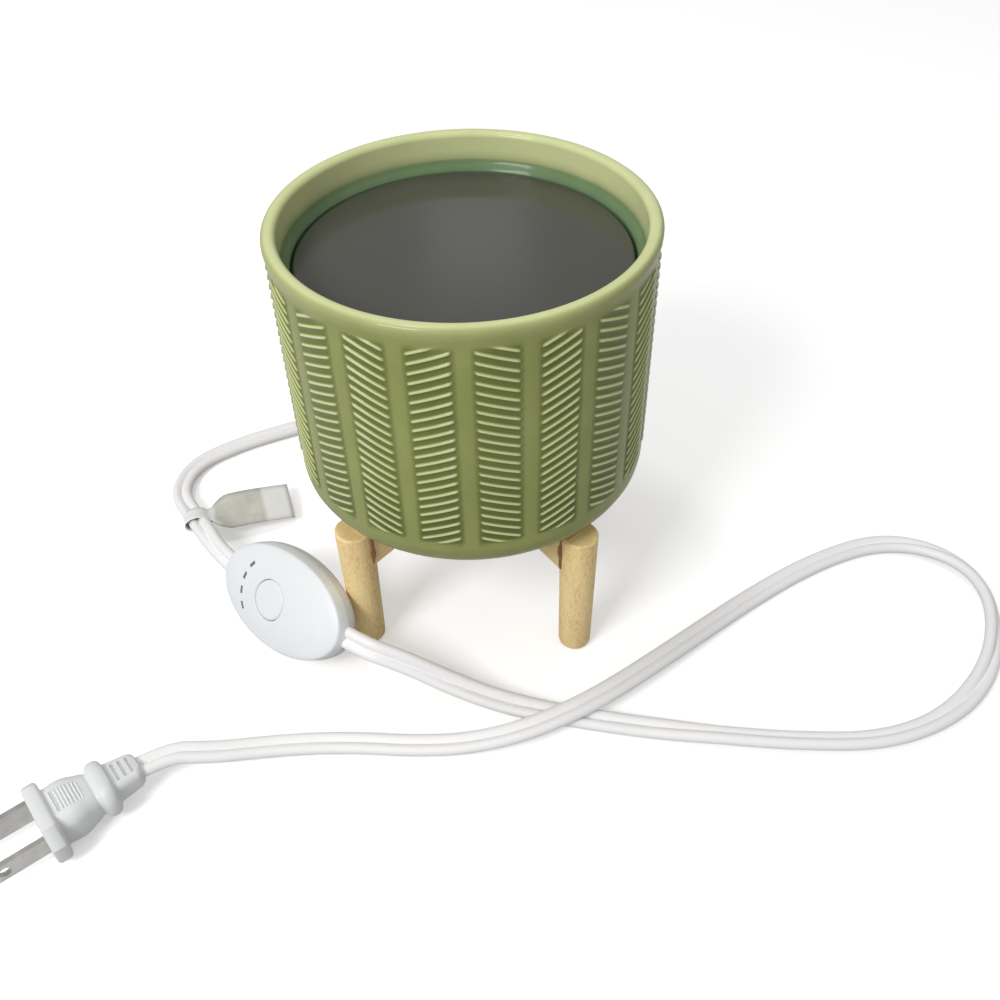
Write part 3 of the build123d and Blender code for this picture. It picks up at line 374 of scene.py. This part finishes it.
plug_middle = Vector((-0.1106, -0.1074, 0.0075))
plug_out = Vector((-0.748956, -0.66262, 0.0))
plug_side = Vector((0.66262, -0.748956, 0.0))
grip_steps = 44
pad_start, pad_end = -5.8, -13.2
pad_depth, ridge_height, ridge_pitch = 0.42, 0.2, 0.93
neck_pitch = 2.05
plug_white = moulded("plug_white", (0.73, 0.74, 0.75), (0.80, 0.81, 0.82), 50.0, 0.38)


def plug_ring(reach, width, height, corner, chamfered=False):
    """Points round the plug at a reach from its face, with the pads' edges among them."""
    half_width, half_height = width / 2, height / 2
    ring = []
    for index, (x_side, z_side) in enumerate(((1, 1), (-1, 1), (-1, -1), (1, -1))):
        for step in range(7):
            turn = radians(90 * index + 15 * step)
            if chamfered:
                share = step / 6
                first = (corner, 0.0) if index % 2 == 0 else (0.0, corner)
                last = (0.0, corner) if index % 2 == 0 else (corner, 0.0)
                out_x = first[0] + (last[0] - first[0]) * share
                out_z = first[1] + (last[1] - first[1]) * share
            else:
                out_x, out_z = abs(corner * cos(turn)), abs(corner * sin(turn))
            ring.append((reach, x_side * (half_width - corner + out_x),
                         z_side * (half_height - corner + out_z)))
        if index in (0, 2):
            flat = half_width - corner
            for share in (0.96, 0.88, 0.45, 0.0, -0.45, -0.88, -0.96):
                ring.append((reach, x_side * flat * share, z_side * half_height))
    return ring


def sink_flats(ring, flat, height, depth):
    """Push in the middle of a ring's upper and lower sides."""
    for index, (x, y, z) in enumerate(ring):
        if abs(y) < 0.9 * flat and abs(z) > height / 2 - 0.01:
            ring[index] = (x, y, z - (depth if z > 0 else -depth))


plug_rings = [
    plug_ring(0.0, 22.4, 13.4, 4.2, True), plug_ring(-0.2, 23.4, 14.4, 4.4, True),
    plug_ring(-0.8, 24.0, 15.0, 4.5, True), plug_ring(-3.3, 24.0, 15.0, 4.5, True),
    plug_ring(-3.9, 23.5, 14.5, 4.5, True), plug_ring(-4.2, 22.4, 13.6, 4.4, True),
    plug_ring(-4.25, 16.4, 13.2, 4.4), plug_ring(-4.7, 15.3, 12.4, 4.0),
]
for step in range(grip_steps + 1):
    reach = -5.1 - 9.6 * step / grip_steps
    bulge = sin(pi * min(1.0, (-reach - 4.2) / 8.6))
    waist = max(0.0, (-reach - 8.4) / 7.6) ** 1.6
    width = 15.3 + 0.6 * bulge - 3.8 * waist
    height = 12.2 + 0.5 * bulge - 3.0 * waist
    corner = 4.0 - 0.9 * waist
    plug_rings.append(plug_ring(reach, width, height, corner))
    if pad_end < reach < pad_start:
        ridge = pad_depth + ridge_height * cos(2 * pi * (reach - pad_start) / ridge_pitch)
        sink_flats(plug_rings[-1], width / 2 - corner, height, ridge)
plug_rings += [
    plug_ring(-15.3, 11.8, 9.3, 3.1), plug_ring(-15.8, 12.6, 9.5, 3.4),
    plug_ring(-16.0, 13.8, 9.9, 4.0), plug_ring(-16.4, 15.6, 11.0, 4.6),
    plug_ring(-17.2, 16.5, 11.7, 4.8), plug_ring(-18.3, 16.6, 11.8, 4.8),
    plug_ring(-19.4, 16.2, 11.5, 4.8), plug_ring(-20.1, 14.8, 10.7, 4.4),
    plug_ring(-20.4, 12.6, 9.2, 3.4), plug_ring(-20.5, 11.0, 8.2, 2.2),
    plug_ring(-21.2, 10.5, 7.9, 1.9),
]
for groove in range(3):
    start = -22.0 - neck_pitch * groove
    for back, sink in ((0.0, 0.0), (0.12, 0.75), (0.30, 0.95), (0.75, 0.95), (0.93, 0.75),
                       (1.05, 0.0)):
        width = 10.4 - 0.2 * (groove * neck_pitch + back)
        height = 7.8 - 0.17 * (groove * neck_pitch + back)
        plug_rings.append(plug_ring(start - back, width, height, 1.9))
        sink_flats(plug_rings[-1], width / 2 - 1.9, height, sink)
plug_rings += [plug_ring(-27.6, 9.0, 6.7, 2.1), plug_ring(-28.4, 8.4, 6.2, 2.4),
               plug_ring(-28.8, 7.0, 5.0, 2.4)]
plug_points = []
for ring in plug_rings:
    for x, y, z in ring:
        plug_points.append(plug_middle + (plug_out * x + plug_side * y + Vector((0, 0, z))) / 1000)
ring_size = len(plug_rings[0])
plug_faces = [tuple(reversed(face)) for face in lattice(len(plug_rings), ring_size)]
plug_faces.append(tuple(range(ring_size)))
plug_faces.append(tuple(reversed(range(len(plug_points) - ring_size, len(plug_points)))))
plug = make_piece("plug_moulding", plug_points, plug_faces, plug_white, crease=38.0)
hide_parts("plug_body")


# Plug blades
# Two flat blades stamped from brass strip and nickel plated, with a hole near each tip. The
# wider one only fits the wider slot.

nickel = moulded("nickel_plate", (0.50, 0.49, 0.47), (0.62, 0.61, 0.58), 300.0, 0.3, metallic=1.0)


def dress(node, material):
    """Give a carried-over part its finish."""
    mesh = nodes[node].data
    mesh.materials.clear()
    mesh.materials.append(material)


dress("plug_blade_narrow", nickel)
dress("plug_blade_wide", nickel)


# Inline control: face shell
# A white moulded oval shell, gently crowned, with a round hole for the button and four slots
# for the lights on an arc beside it. It meets the back shell at a fine parting groove.

control_middle = Vector((-0.05885, -0.03487, 0.0173))
control_u = Vector((-0.7902125, 0.6063514, -0.0888943))
control_v = Vector((-0.2838452, -0.4906885, -0.8238062))
control_n = Vector((-0.5431355, -0.6257498, 0.5598581))
button_u, button_v = 2.1, 0.5
half_length, half_width = 26.6, 15.7
crown_round, crown_sink = 12.0, 9.4
light_count, light_pitch, light_stride, light_column = 4, 21.0, 8, 7
control_white = moulded("control_white", (0.80, 0.83, 0.85), (0.85, 0.875, 0.89), 35.0, 0.36)


def on_control(u, v, n):
    """A place on the control in millimetres, as a point of the part's frame."""
    return control_middle + (control_u * u + control_v * v + control_n * n) / 1000


def crown(u, v):
    """The face's height above the oval edge."""
    share = sqrt(1 - (crown_sink / crown_round) ** 2)
    across = (u * share / half_length) ** 2 + (v * share / half_width) ** 2
    return crown_round * sqrt(max(0.0, 1 - across)) - crown_sink


def from_button(reach, turn):
    """The place at a distance and direction from the button's middle."""
    return button_u + reach * cos(turn), button_v + reach * sin(turn)


def edge_distance(turn):
    """How far the oval edge is from the button's middle in a direction."""
    low, high = 8.0, 40.0
    for _ in range(40):
        middle = (low + high) / 2
        u, v = from_button(middle, turn)
        if (u / half_length) ** 2 + (v / half_width) ** 2 < 1:
            low = middle
        else:
            high = middle
    return low


face_turns = []
for light in range(light_count):
    middle = -31.5 + light_pitch * light
    face_turns += [middle - 5.2, middle - 3.0, middle, middle + 3.0, middle + 5.2]
    if light < light_count - 1:
        face_turns += [middle + 8.0, middle + 10.5, middle + 13.0]
face_turns += [37.2 + 4.0 + 4.0 * step for step in range(71)]
face_turns = [radians(turn) for turn in face_turns]
face_points = []
for turn in face_turns:
    edge = edge_distance(turn)
    column = [(6.5, -1.6), (6.5, -0.42), (6.56, -0.16), (6.75, -0.03), (7.1, 0.0), (8.6, 0.0),
              (10.8, 0.0), (12.95, 0.0), (14.05, 0.0)]
    spread = edge - 0.8 - 14.05
    column += [(14.05 + spread * share, 0.0) for share in (0.25, 0.5, 0.75, 1.0)]
    for reach, lift in column:
        u, v = from_button(reach, turn)
        face_points.append(on_control(u, v, crown(u, v) + lift))
    for outward, level in ((-0.38, -0.04), (-0.12, -0.30), (-0.02, -0.75), (0.12, -1.5),
                           (0.38, -3.4), (0.36, -3.62), (0.16, -3.72), (-0.3, -3.76)):
        u, v = from_button(edge + outward, turn)
        face_points.append(on_control(u, v, level))
face_rows = len(face_turns)
face_columns = len(face_points) // face_rows
face_faces = []
for row in range(face_rows):
    after = (row + 1) % face_rows
    for column in range(face_columns - 1):
        at_light = row < light_count * light_stride and row % light_stride < 4
        if not (at_light and column == light_column):
            face_faces.append((row * face_columns + column, row * face_columns + column + 1,
                               after * face_columns + column + 1, after * face_columns + column))
for light in range(light_count):
    first = light * light_stride
    rim = [(row, light_column) for row in range(first, first + 5)]
    rim += [(row, light_column + 1) for row in range(first + 4, first - 1, -1)]
    start = len(face_points)
    for row, column in rim:
        face_points.append(face_points[row * face_columns + column] - control_n * 0.0009)
    for index, (row, column) in enumerate(rim):
        after = (index + 1) % len(rim)
        row_after, column_after = rim[after]
        face_faces.append((row * face_columns + column, row_after * face_columns + column_after,
                           start + after, start + index))
face = make_piece("controller_face", face_points, face_faces, control_white, crease=45.0)
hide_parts("controller_top_shell")


# Inline control: back shell
# A shallow tray with a rounded back edge. Two screws hold it to the posts of the face shell.

# Painted shade: the back shell's white is painted greyer and warmer than the face shell's,
# standing for the shade on the control's side.
control_back = moulded("control_back_painted_shade", (0.64, 0.635, 0.62), (0.71, 0.70, 0.69), 35.0, 0.42)
steel = moulded("zinc_steel", (0.42, 0.43, 0.45), (0.62, 0.63, 0.65), 500.0, 0.38, metallic=1.0)
dress("controller_base_shell", control_back)
dress("controller_screws", steel)


# Inline control: button
# A round cap of the same white plastic, softly dished with a rounded rim, free to sink a
# little. It presses the switch on the board through its stem.

cap_rings = [(0.0, -0.30), (2.0, -0.27), (4.0, -0.16), (5.3, -0.04), (5.8, -0.05), (6.2, -0.2),
             (6.32, -0.5), (6.34, -1.0), (6.34, -2.2)]
cap_sides = 64
cap_points = [on_control(button_u, button_v, crown(button_u, button_v) + cap_rings[0][1])]
for reach, lift in cap_rings[1:]:
    for step in range(cap_sides):
        u, v = from_button(reach, 2 * pi * step / cap_sides)
        cap_points.append(on_control(u, v, crown(u, v) + lift))
cap_faces = [(0, 1 + step, 1 + (step + 1) % cap_sides) for step in range(cap_sides)]
cap_faces += [tuple(1 + corner for corner in quad)
              for quad in lattice(len(cap_rings) - 1, cap_sides)]
cap = make_piece("control_button_cap", cap_points, cap_faces, control_white, body="button")
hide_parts("control_button")


# Inline control: lights, board and switch
# Grey light guides stand over four chips on a green board, beside the sealed switch, a film
# capacitor and a power switch. The timer chip is under the board.

smoke = moulded("smoked_guide", (0.13, 0.13, 0.13), (0.19, 0.19, 0.19), 400.0, 0.2)
chip_white = moulded("chip_white", (0.75, 0.74, 0.62), (0.82, 0.80, 0.68), 900.0, 0.4)
board_green = moulded("board_green", (0.012, 0.09, 0.03), (0.02, 0.15, 0.05), 700.0, 0.35)
resin = moulded("amber_resin", (0.42, 0.20, 0.03), (0.55, 0.28, 0.05), 400.0, 0.3)
black = moulded("black_plastic", (0.018, 0.018, 0.02), (0.035, 0.035, 0.038), 250.0, 0.5)
core_white = moulded("core_sleeve", (0.70, 0.70, 0.70), (0.78, 0.78, 0.78), 300.0, 0.45)
for node, finish in (
        ("light_windows", smoke), ("light_chips", chip_white), ("circuit_board", board_green),
        ("film_capacitor", resin), ("triac", black), ("timer_chip", black),
        ("tact_switch", black), ("switch_plunger", black), ("cord_clamps", control_back),
        ("board_wires", core_white)):
    dress(node, finish)


# The two cords
# The first ends in the control, with the label on it. The second leaves the control and
# carries the plug.


# Glazed pot
# Cast stoneware with an olive glaze. Twenty columns of slanting ribs lean left and right in
# turn, like herringbone, with plain strips between. The glaze thins pale on the ribs. The rim
# is painted pale, partly from the glaze thinning and partly as a painted highlight, and the
# mouth's inner wall carries painted light and shade.

pot_radius = 50.95
mouth_radius = 47.5
foot_radius, foot_round = 35.0, 10.0
lip_radius, lip_round = 51.4, 1.6
round_steps = 8
column_count, column_turn, column_half = 20, 18.0, 6.0
rib_pitch = 2.842
rib_top = 121.5
band_top, band_bottom = 124.4, 61.7
lip_start, rim_start = 125.0, 128.4
edge_top = 58.0
column_slant = 3.89
rib_height = 0.38
valley_depth = 0.12
column_offsets = [(-6.15, 0.0), (-5.95, 0.35), (-5.6, 0.78), (-5.1, 1.0), (-4.4, 1.0), (-2.9, 1.0),
                  (-1.45, 1.0), (0.0, 1.0), (1.45, 1.0), (2.9, 1.0), (4.4, 1.0), (5.1, 1.0),
                  (5.6, 0.78), (5.95, 0.35), (6.15, 0.0), (7.4, 0.0), (9.0, 0.0), (10.6, 0.0)]


pot_columns = []
for column in range(column_count):
    lean = 1 if column % 2 == 0 else -1
    for offset, fullness in column_offsets:
        slant = lean * column_slant * max(-column_half, min(column_half, offset)) / 12
        if offset > 9.5:
            slant = lean * column_slant * column_half / 12
        sunk = 1 - eased(min(abs(offset), column_turn - offset), 5.4, 7.6)
        turn = radians(-5.0 + column_turn * column + offset)
        pot_columns.append((turn, slant, fullness, sunk))

rib_section = [(1.421, 0.0), (0.66, 0.0), (0.47, 0.32), (0.29, 0.86), (0.0, 1.0), (-0.29, 0.86),
               (-0.47, 0.32), (-0.66, 0.0)]
top_level, bottom_level = 128.7, 57.4
pot_rows = [(128.3, 0.0), (127.7, 0.0), (127.0, 0.0), (126.4, 0.0)]
for rib in range(-1, 22):
    for below, height in rib_section:
        pot_rows.append((rib_top - rib_pitch * rib + below, height))
pot_rows += [(rib_top - rib_pitch * 21 - 1.421, 0.0), (59.7, 0.0), (58.6, 0.0)]


def sheared(level, slant):
    """A row's height on a slanting column: free inside the band and level again beyond it."""
    if level + slant > band_top:
        share = (level - band_top + slant) / (top_level - band_top + slant)
        return band_top + (rim_start - band_top) * share
    if level + slant < band_bottom:
        share = (band_bottom - slant - level) / (band_bottom - slant - bottom_level)
        return band_bottom - (band_bottom - edge_top) * share
    return level + slant


pot_points = []
pot_glaze_and_painted_light = []
pot_inside = []


def add_pot_ring(radius, height, glaze_and_painted_light, inside):
    """One plain ring of the pot."""
    for turn, _, _, _ in pot_columns:
        pot_points.append((radius * sin(turn) / 1000, -radius * cos(turn) / 1000, height / 1000))
        pot_glaze_and_painted_light.append(glaze_and_painted_light)
        pot_inside.append(inside)


profile = [(30.0, 54.0, 0.3), (30.0, 50.6, 0.3), (34.0, 50.6, 0.3), (34.0, 48.0, 0.3),
           (foot_radius, 48.0, 0.3)]
for step in range(1, round_steps + 1):
    turn = radians(90 * step / round_steps)
    profile.append((foot_radius + (pot_radius - foot_radius) * sin(turn),
                    edge_top - foot_round * cos(turn), 0.30 + 0.14 * sin(turn)))
for radius, height, glaze_and_painted_light in profile:
    add_pot_ring(radius, height, glaze_and_painted_light, 0.0)
for level, height in reversed(pot_rows):
    for turn, slant, fullness, sunk in pot_columns:
        z = sheared(level, slant)
        within = eased(z, band_bottom - 0.15, band_bottom + 0.15)
        within *= 1 - eased(z, band_top - 0.15, band_top + 0.15)
        rib = height * fullness * within
        soft_edge = eased(z, band_bottom - 1.2, band_bottom + 0.8)
        soft_edge *= 1 - eased(z, band_top - 1.2, band_top + 0.8)
        valley = sunk * soft_edge * (1 - height * fullness)
        lip = (lip_radius - pot_radius) * eased(z, lip_start, rim_start)
        radius = pot_radius + rib_height * rib - valley_depth * valley + lip
        pot_points.append((radius * sin(turn) / 1000, -radius * cos(turn) / 1000, z / 1000))
        # Painted highlight: the neck just under the rim is painted paler towards the rim.
        rim_painted_highlight = 0.10 * eased(z, 124.8, 128.4)
        low = 1 - eased(z, 60.0, 92.0)
        pot_glaze_and_painted_light.append(0.5 + 0.5 * rib - (0.22 + 0.10 * low) * valley - 0.02 * low + rim_painted_highlight)
        pot_inside.append(0.0)
# The rim's rounding is painted pale, palest at its top and inner edge: partly the glaze thinning
# there, partly a painted highlight.
for step in range(1, round_steps + 1):
    turn = radians(90 * step / round_steps)
    add_pot_ring(lip_radius - lip_round + lip_round * cos(turn),
                 rim_start + lip_round * sin(turn), 0.62 + 0.33 * eased(step, 3.0, 8.0), 0.0)
for step in range(round_steps + 1):
    turn = radians(90 + 90 * step / round_steps)
    add_pot_ring(mouth_radius + lip_round + lip_round * cos(turn),
                 rim_start + lip_round * sin(turn), 0.95 - 0.005 * step, 0.0)
# The mouth's inner wall is painted pale at the top and darker downwards, as painted light and a
# painted shading gradient; the cove below it turns teal and is darkest where it meets the plate.
for radius, height, glaze_and_painted_light, inside in (
        (mouth_radius, 127.0, 0.97, 0.0), (mouth_radius, 125.0, 0.96, 0.0),
        (mouth_radius, 123.4, 0.86, 0.1), (mouth_radius, 122.4, 0.74, 0.35),
        (mouth_radius - 0.05, 121.8, 0.56, 0.7), (mouth_radius - 0.25, 121.3, 0.5, 1.0),
        (mouth_radius - 0.6, 120.9, 0.5, 1.0), (46.4, 120.2, 0.5, 1.0), (45.6, 119.4, 0.42, 1.0),
        (45.4, 119.0, 0.3, 1.0), (45.4, 117.0, 0.2, 1.0), (44.0, 117.0, 0.2, 1.0),
        (44.0, 116.0, 0.3, 1.0), (44.0, 90.0, 0.3, 1.0), (44.0, 61.0, 0.3, 1.0),
        (42.0, 56.0, 0.3, 1.0), (37.0, 54.0, 0.3, 1.0)):
    add_pot_ring(radius, height, glaze_and_painted_light, inside)
pot_width = len(pot_columns)
pot_faces = lattice(len(pot_points) // pot_width, pot_width)
last_ring = len(pot_points) - pot_width
for column in range(pot_width):
    after = (column + 1) % pot_width
    pot_faces.append((last_ring + column, last_ring + after, after, column))

glaze, tree, shader = new_material("olive_glaze")
shader.inputs["Coat Weight"].default_value = 0.22
shader.inputs["Specular IOR Level"].default_value = 0.12
shader.inputs["Coat Roughness"].default_value = 0.07
place = tree.nodes.new("ShaderNodeTexCoord")
# The glaze's tone mask: its own paleness on the ribs and darkness between them, together with the
# painted highlights on the rim and the painted light and shade on the inner wall.
glaze_and_painted_light = tree.nodes.new("ShaderNodeAttribute")
glaze_and_painted_light.attribute_name = "glaze_and_painted_light"
inside = tree.nodes.new("ShaderNodeAttribute")
inside.attribute_name = "inside"
cloud = add_noise(tree, place.outputs["Object"], 90.0, 6.0)
drift = tree.nodes.new("ShaderNodeMath")
drift.operation = "MULTIPLY_ADD"
drift.inputs[1].default_value = 0.14
drift.inputs[2].default_value = -0.07
total = tree.nodes.new("ShaderNodeMath")
total.operation = "ADD"
outer_shades = add_ramp(tree, (0.05, (0.060, 0.080, 0.016)), (0.95, (0.66, 0.70, 0.36)),
                        (0.5, (0.296, 0.325, 0.104)), (0.3, (0.155, 0.190, 0.046)))
inner_shades = add_ramp(tree, (0.1, (0.045, 0.07, 0.035)), (0.95, (0.62, 0.68, 0.42)),
                        (0.55, (0.16, 0.25, 0.12)))
both = tree.nodes.new("ShaderNodeMix")
both.data_type = "RGBA"
specks = add_noise(tree, place.outputs["Object"], 900.0, 3.0)
gloss = tree.nodes.new("ShaderNodeMapRange")
gloss.inputs["From Min"].default_value = 0.3
gloss.inputs["From Max"].default_value = 0.7
gloss.inputs["To Min"].default_value = 0.28
gloss.inputs["To Max"].default_value = 0.36
ripple = tree.nodes.new("ShaderNodeBump")
ripple.inputs["Distance"].default_value = 0.00012
ripple.inputs["Strength"].default_value = 0.2
tree.links.new(cloud.outputs["Fac"], drift.inputs[0])
tree.links.new(glaze_and_painted_light.outputs["Fac"], total.inputs[0])
tree.links.new(drift.outputs["Value"], total.inputs[1])
tree.links.new(total.outputs["Value"], outer_shades.inputs["Fac"])
tree.links.new(total.outputs["Value"], inner_shades.inputs["Fac"])
tree.links.new(inside.outputs["Fac"], both.inputs["Factor"])
tree.links.new(outer_shades.outputs["Color"], both.inputs["A"])
tree.links.new(inner_shades.outputs["Color"], both.inputs["B"])
tree.links.new(both.outputs["Result"], shader.inputs["Base Color"])
tree.links.new(specks.outputs["Fac"], gloss.inputs["Value"])
tree.links.new(gloss.outputs["Result"], shader.inputs["Roughness"])
tree.links.new(cloud.outputs["Fac"], ripple.inputs["Height"])
tree.links.new(ripple.outputs["Normal"], shader.inputs["Normal"])

pot = make_piece("glazed_pot", pot_points, pot_faces, glaze, crease=70.0)
for name, values in (("glaze_and_painted_light", pot_glaze_and_painted_light), ("inside", pot_inside)):
    layer = pot.data.attributes.new(name, "FLOAT", "POINT")
    layer.data.foreach_set("value", values)
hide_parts("pot_shell")


# Hot plate
# Pressed metal with a dark warm grey satin coating, sunk in the pot's mouth. The coating has
# a fine grain and a broad, weak sheen.

coating = moulded("plate_coating", (0.060, 0.060, 0.050), (0.068, 0.068, 0.057), 18.0, 0.17,
                  grain=1600.0)
dress("warming_plate", coating)


# Heater stack under the plate
# A silicone seal, the flat heater, a fibre disc and a pressed clamp plate, all drawn up by the
# tie rod and its nut. None of it shows once the warmer is together.

silicone = moulded("dark_silicone", (0.020, 0.022, 0.020), (0.035, 0.038, 0.034), 300.0, 0.6)
heater_metal = moulded("heater_aluminium", (0.60, 0.61, 0.62), (0.72, 0.73, 0.74), 200.0, 0.4,
                       metallic=1.0)
fibre = moulded("fibre_board", (0.62, 0.58, 0.48), (0.74, 0.70, 0.60), 500.0, 0.9, grain=1200.0,
                depth=0.0001)
dress("plate_gasket", silicone)
dress("heater_element", heater_metal)
dress("insulation_disc", fibre)
for node in ("clamp_plate", "clamp_washer", "clamp_nut", "tie_rod", "stand_washer", "stand_nut",
             "fuse_clip", "clamp_screws", "thermal_fuse"):
    dress(node, steel)


# Wiring inside the pot
# The cord's tail splits into two cores, which are crimped to red heat-proof leads that run
# through the thermostat and the thermal fuse to the heater.

sleeve = moulded("red_sleeve", (0.50, 0.03, 0.02), (0.62, 0.05, 0.03), 400.0, 0.5)
for node in ("heater_lead", "thermostat_lead", "fuse_lead", "fuse_tail"):
    dress(node, sleeve)
dress("thermostat", black)
dress("crimp_caps", core_white)
dress("supply_tail", vinyl)
dress("supply_cores", core_white)
dress("outlet_lock_ring", black)
dress("base_cover", black)


# Wooden stand
# Four turned legs of pale close-grained wood, and two bars that halve into each other under
# the pot. Each bar end is pegged and glued into its legs.


def planed(name, turn, along):
    """Pale wood with its grain along one axis after a turn about the upright."""
    material, tree, shader = new_material(name)
    place = tree.nodes.new("ShaderNodeTexCoord")
    lay = tree.nodes.new("ShaderNodeMapping")
    lay.vector_type = "TEXTURE"
    lay.inputs["Rotation"].default_value = (0.0, 0.0, radians(turn))
    if along == "x":
        lay.inputs["Scale"].default_value = (7.0, 1.0, 1.0)
    else:
        lay.inputs["Scale"].default_value = (1.0, 1.0, 5.0)
    streaks = add_noise(tree, lay.outputs["Vector"], 2600.0, 5.0)
    bands = add_noise(tree, lay.outputs["Vector"], 260.0, 3.0)
    blend = tree.nodes.new("ShaderNodeMix")
    blend.inputs["Factor"].default_value = 0.3
    shades = add_ramp(tree, (0.32, (0.74, 0.48, 0.20)), (0.68, (0.98, 0.80, 0.42)),
                      (0.5, (0.95, 0.71, 0.34)))
    pores = tree.nodes.new("ShaderNodeBump")
    pores.inputs["Distance"].default_value = 0.00006
    pores.inputs["Strength"].default_value = 0.5
    shader.inputs["Roughness"].default_value = 0.58
    tree.links.new(place.outputs["Object"], lay.inputs["Vector"])
    tree.links.new(streaks.outputs["Fac"], blend.inputs["A"])
    tree.links.new(bands.outputs["Fac"], blend.inputs["B"])
    tree.links.new(blend.outputs["Result"], shades.inputs["Fac"])
    tree.links.new(shades.outputs["Color"], shader.inputs["Base Color"])
    tree.links.new(streaks.outputs["Fac"], pores.inputs["Height"])
    tree.links.new(pores.outputs["Normal"], shader.inputs["Normal"])
    return material


leg_wood = planed("leg_wood", 0.0, "z")
for node in ("leg_front_right", "leg_rear_right", "leg_rear_left", "leg_front_left"):
    dress(node, leg_wood)
dress("cross_bar_lower", planed("lower_bar_wood", -45.0, "x"))
dress("cross_bar_upper", planed("upper_bar_wood", 45.0, "x"))
dress("leg_dowels", leg_wood)


# Glue and painted shade at the joints
# A brown bead runs down both sides of each joint where a bar end meets its leg: partly glue
# that has squeezed out and dried unevenly, partly the painted shade of the narrow gap there.

glue_and_shade = moulded("brown_glue_and_shade", (0.20, 0.075, 0.018), (0.30, 0.12, 0.03), 900.0, 0.3, grain=1500.0,
               depth=0.00008)
bead_rings, bead_sides = 15, 8
leg_reach = 0.0461
glue_and_shade_points = []
glue_and_shade_faces = []
for leg in range(4):
    inward = radians(45 + 90 * leg)
    leg_x, leg_y = leg_reach * sin(inward), -leg_reach * cos(inward)
    for side in (-1, 1):
        turn = inward + pi + side * radians(66)
        for step in range(bead_rings):
            along = step / (bead_rings - 1)
            height = 0.0352 + 0.0118 * along
            taper = 0.00495 + 0.0006 * height / 0.0478
            swell = (0.00040 + 0.00045 * sin(pi * along)
                     + 0.00014 * sin(0.8 * step + 1.7 * leg + side))
            reach = taper + 0.1 * swell
            middle_x, middle_y = leg_x + reach * sin(turn), leg_y - reach * cos(turn)
            for point in range(bead_sides):
                round_turn = 2 * pi * point / bead_sides
                glue_and_shade_points.append((middle_x + swell * cos(round_turn),
                                    middle_y + swell * sin(round_turn), height))
        start = len(glue_and_shade_points) - bead_rings * bead_sides
        glue_and_shade_faces += [tuple(start + corner for corner in quad)
                       for quad in lattice(bead_rings, bead_sides)]
glue_and_shade_beads = make_piece("joint_glue_and_shade", glue_and_shade_points, glue_and_shade_faces, glue_and_shade)


# Floor and light
# A plain white floor that glows a little where the camera or a gloss sees it, and an even
# surround. The main lamp stands at the front left, a small one high on the left and a very
# weak one behind.

floor_half, floor_drop = 6, 0.0002
lamp_aim = Vector((0.0, 0.0, 0.06))
floor_white, tree, shader = new_material("floor_white")
shader.inputs["Roughness"].default_value = 0.9
shader.inputs["Specular IOR Level"].default_value = 0.1
rays = tree.nodes.new("ShaderNodeLightPath")
seen = tree.nodes.new("ShaderNodeMath")
seen.operation = "MAXIMUM"
bright = tree.nodes.new("ShaderNodeMath")
bright.operation = "MULTIPLY"
bright.inputs[1].default_value = 0.36
paint = tree.nodes.new("ShaderNodeMix")
paint.data_type = "RGBA"
paint.inputs["A"].default_value = (0.45, 0.45, 0.45, 1.0)
paint.inputs["B"].default_value = (0.95, 0.95, 0.95, 1.0)
tree.links.new(rays.outputs["Is Camera Ray"], paint.inputs["Factor"])
tree.links.new(paint.outputs["Result"], shader.inputs["Base Color"])
shader.inputs["Emission Color"].default_value = (1.0, 1.0, 1.0, 1.0)
tree.links.new(rays.outputs["Is Camera Ray"], seen.inputs[0])
tree.links.new(rays.outputs["Is Glossy Ray"], seen.inputs[1])
tree.links.new(seen.outputs["Value"], bright.inputs[0])
tree.links.new(bright.outputs["Value"], shader.inputs["Emission Strength"])
floor_mesh = bpy.data.meshes.new("floor")
floor_mesh.from_pydata([(-floor_half, -floor_half, 0), (floor_half, -floor_half, 0),
                        (floor_half, floor_half, 0), (-floor_half, floor_half, 0)],
                       [], [(0, 1, 2, 3)])
floor_mesh.materials.append(floor_white)
floor = bpy.data.objects.new("floor", floor_mesh)
floor.location = (0.0, 0.0, -floor_drop)
scene.collection.objects.link(floor)

world = bpy.data.worlds.new("surround")
world.use_nodes = True
scene.world = world
tree = world.node_tree
air = tree.nodes["Background"]
air.inputs["Color"].default_value = (1.0, 1.0, 1.0, 1.0)
rays = tree.nodes.new("ShaderNodeLightPath")
level = tree.nodes.new("ShaderNodeMapRange")
level.inputs["To Min"].default_value = 0.46
level.inputs["To Max"].default_value = 1.0
tree.links.new(rays.outputs["Is Camera Ray"], level.inputs["Value"])
tree.links.new(level.outputs["Result"], air.inputs["Strength"])


def add_lamp(name, where, size, power):
    """A square lamp that looks at the pot."""
    light = bpy.data.lights.new(name, "AREA")
    light.size = size
    light.energy = power
    lamp = bpy.data.objects.new(name, light)
    lamp.location = where
    lamp.rotation_euler = (lamp_aim - Vector(where)).to_track_quat("-Z", "Y").to_euler()
    scene.collection.objects.link(lamp)


add_lamp("key", (-0.46, -0.66, 0.78), 0.36, 6.0)
add_lamp("top", (-0.24, 0.05, 1.08), 0.16, 1.6)
add_lamp("rear", (-0.075, 0.94, 0.66), 0.13, 0.03)
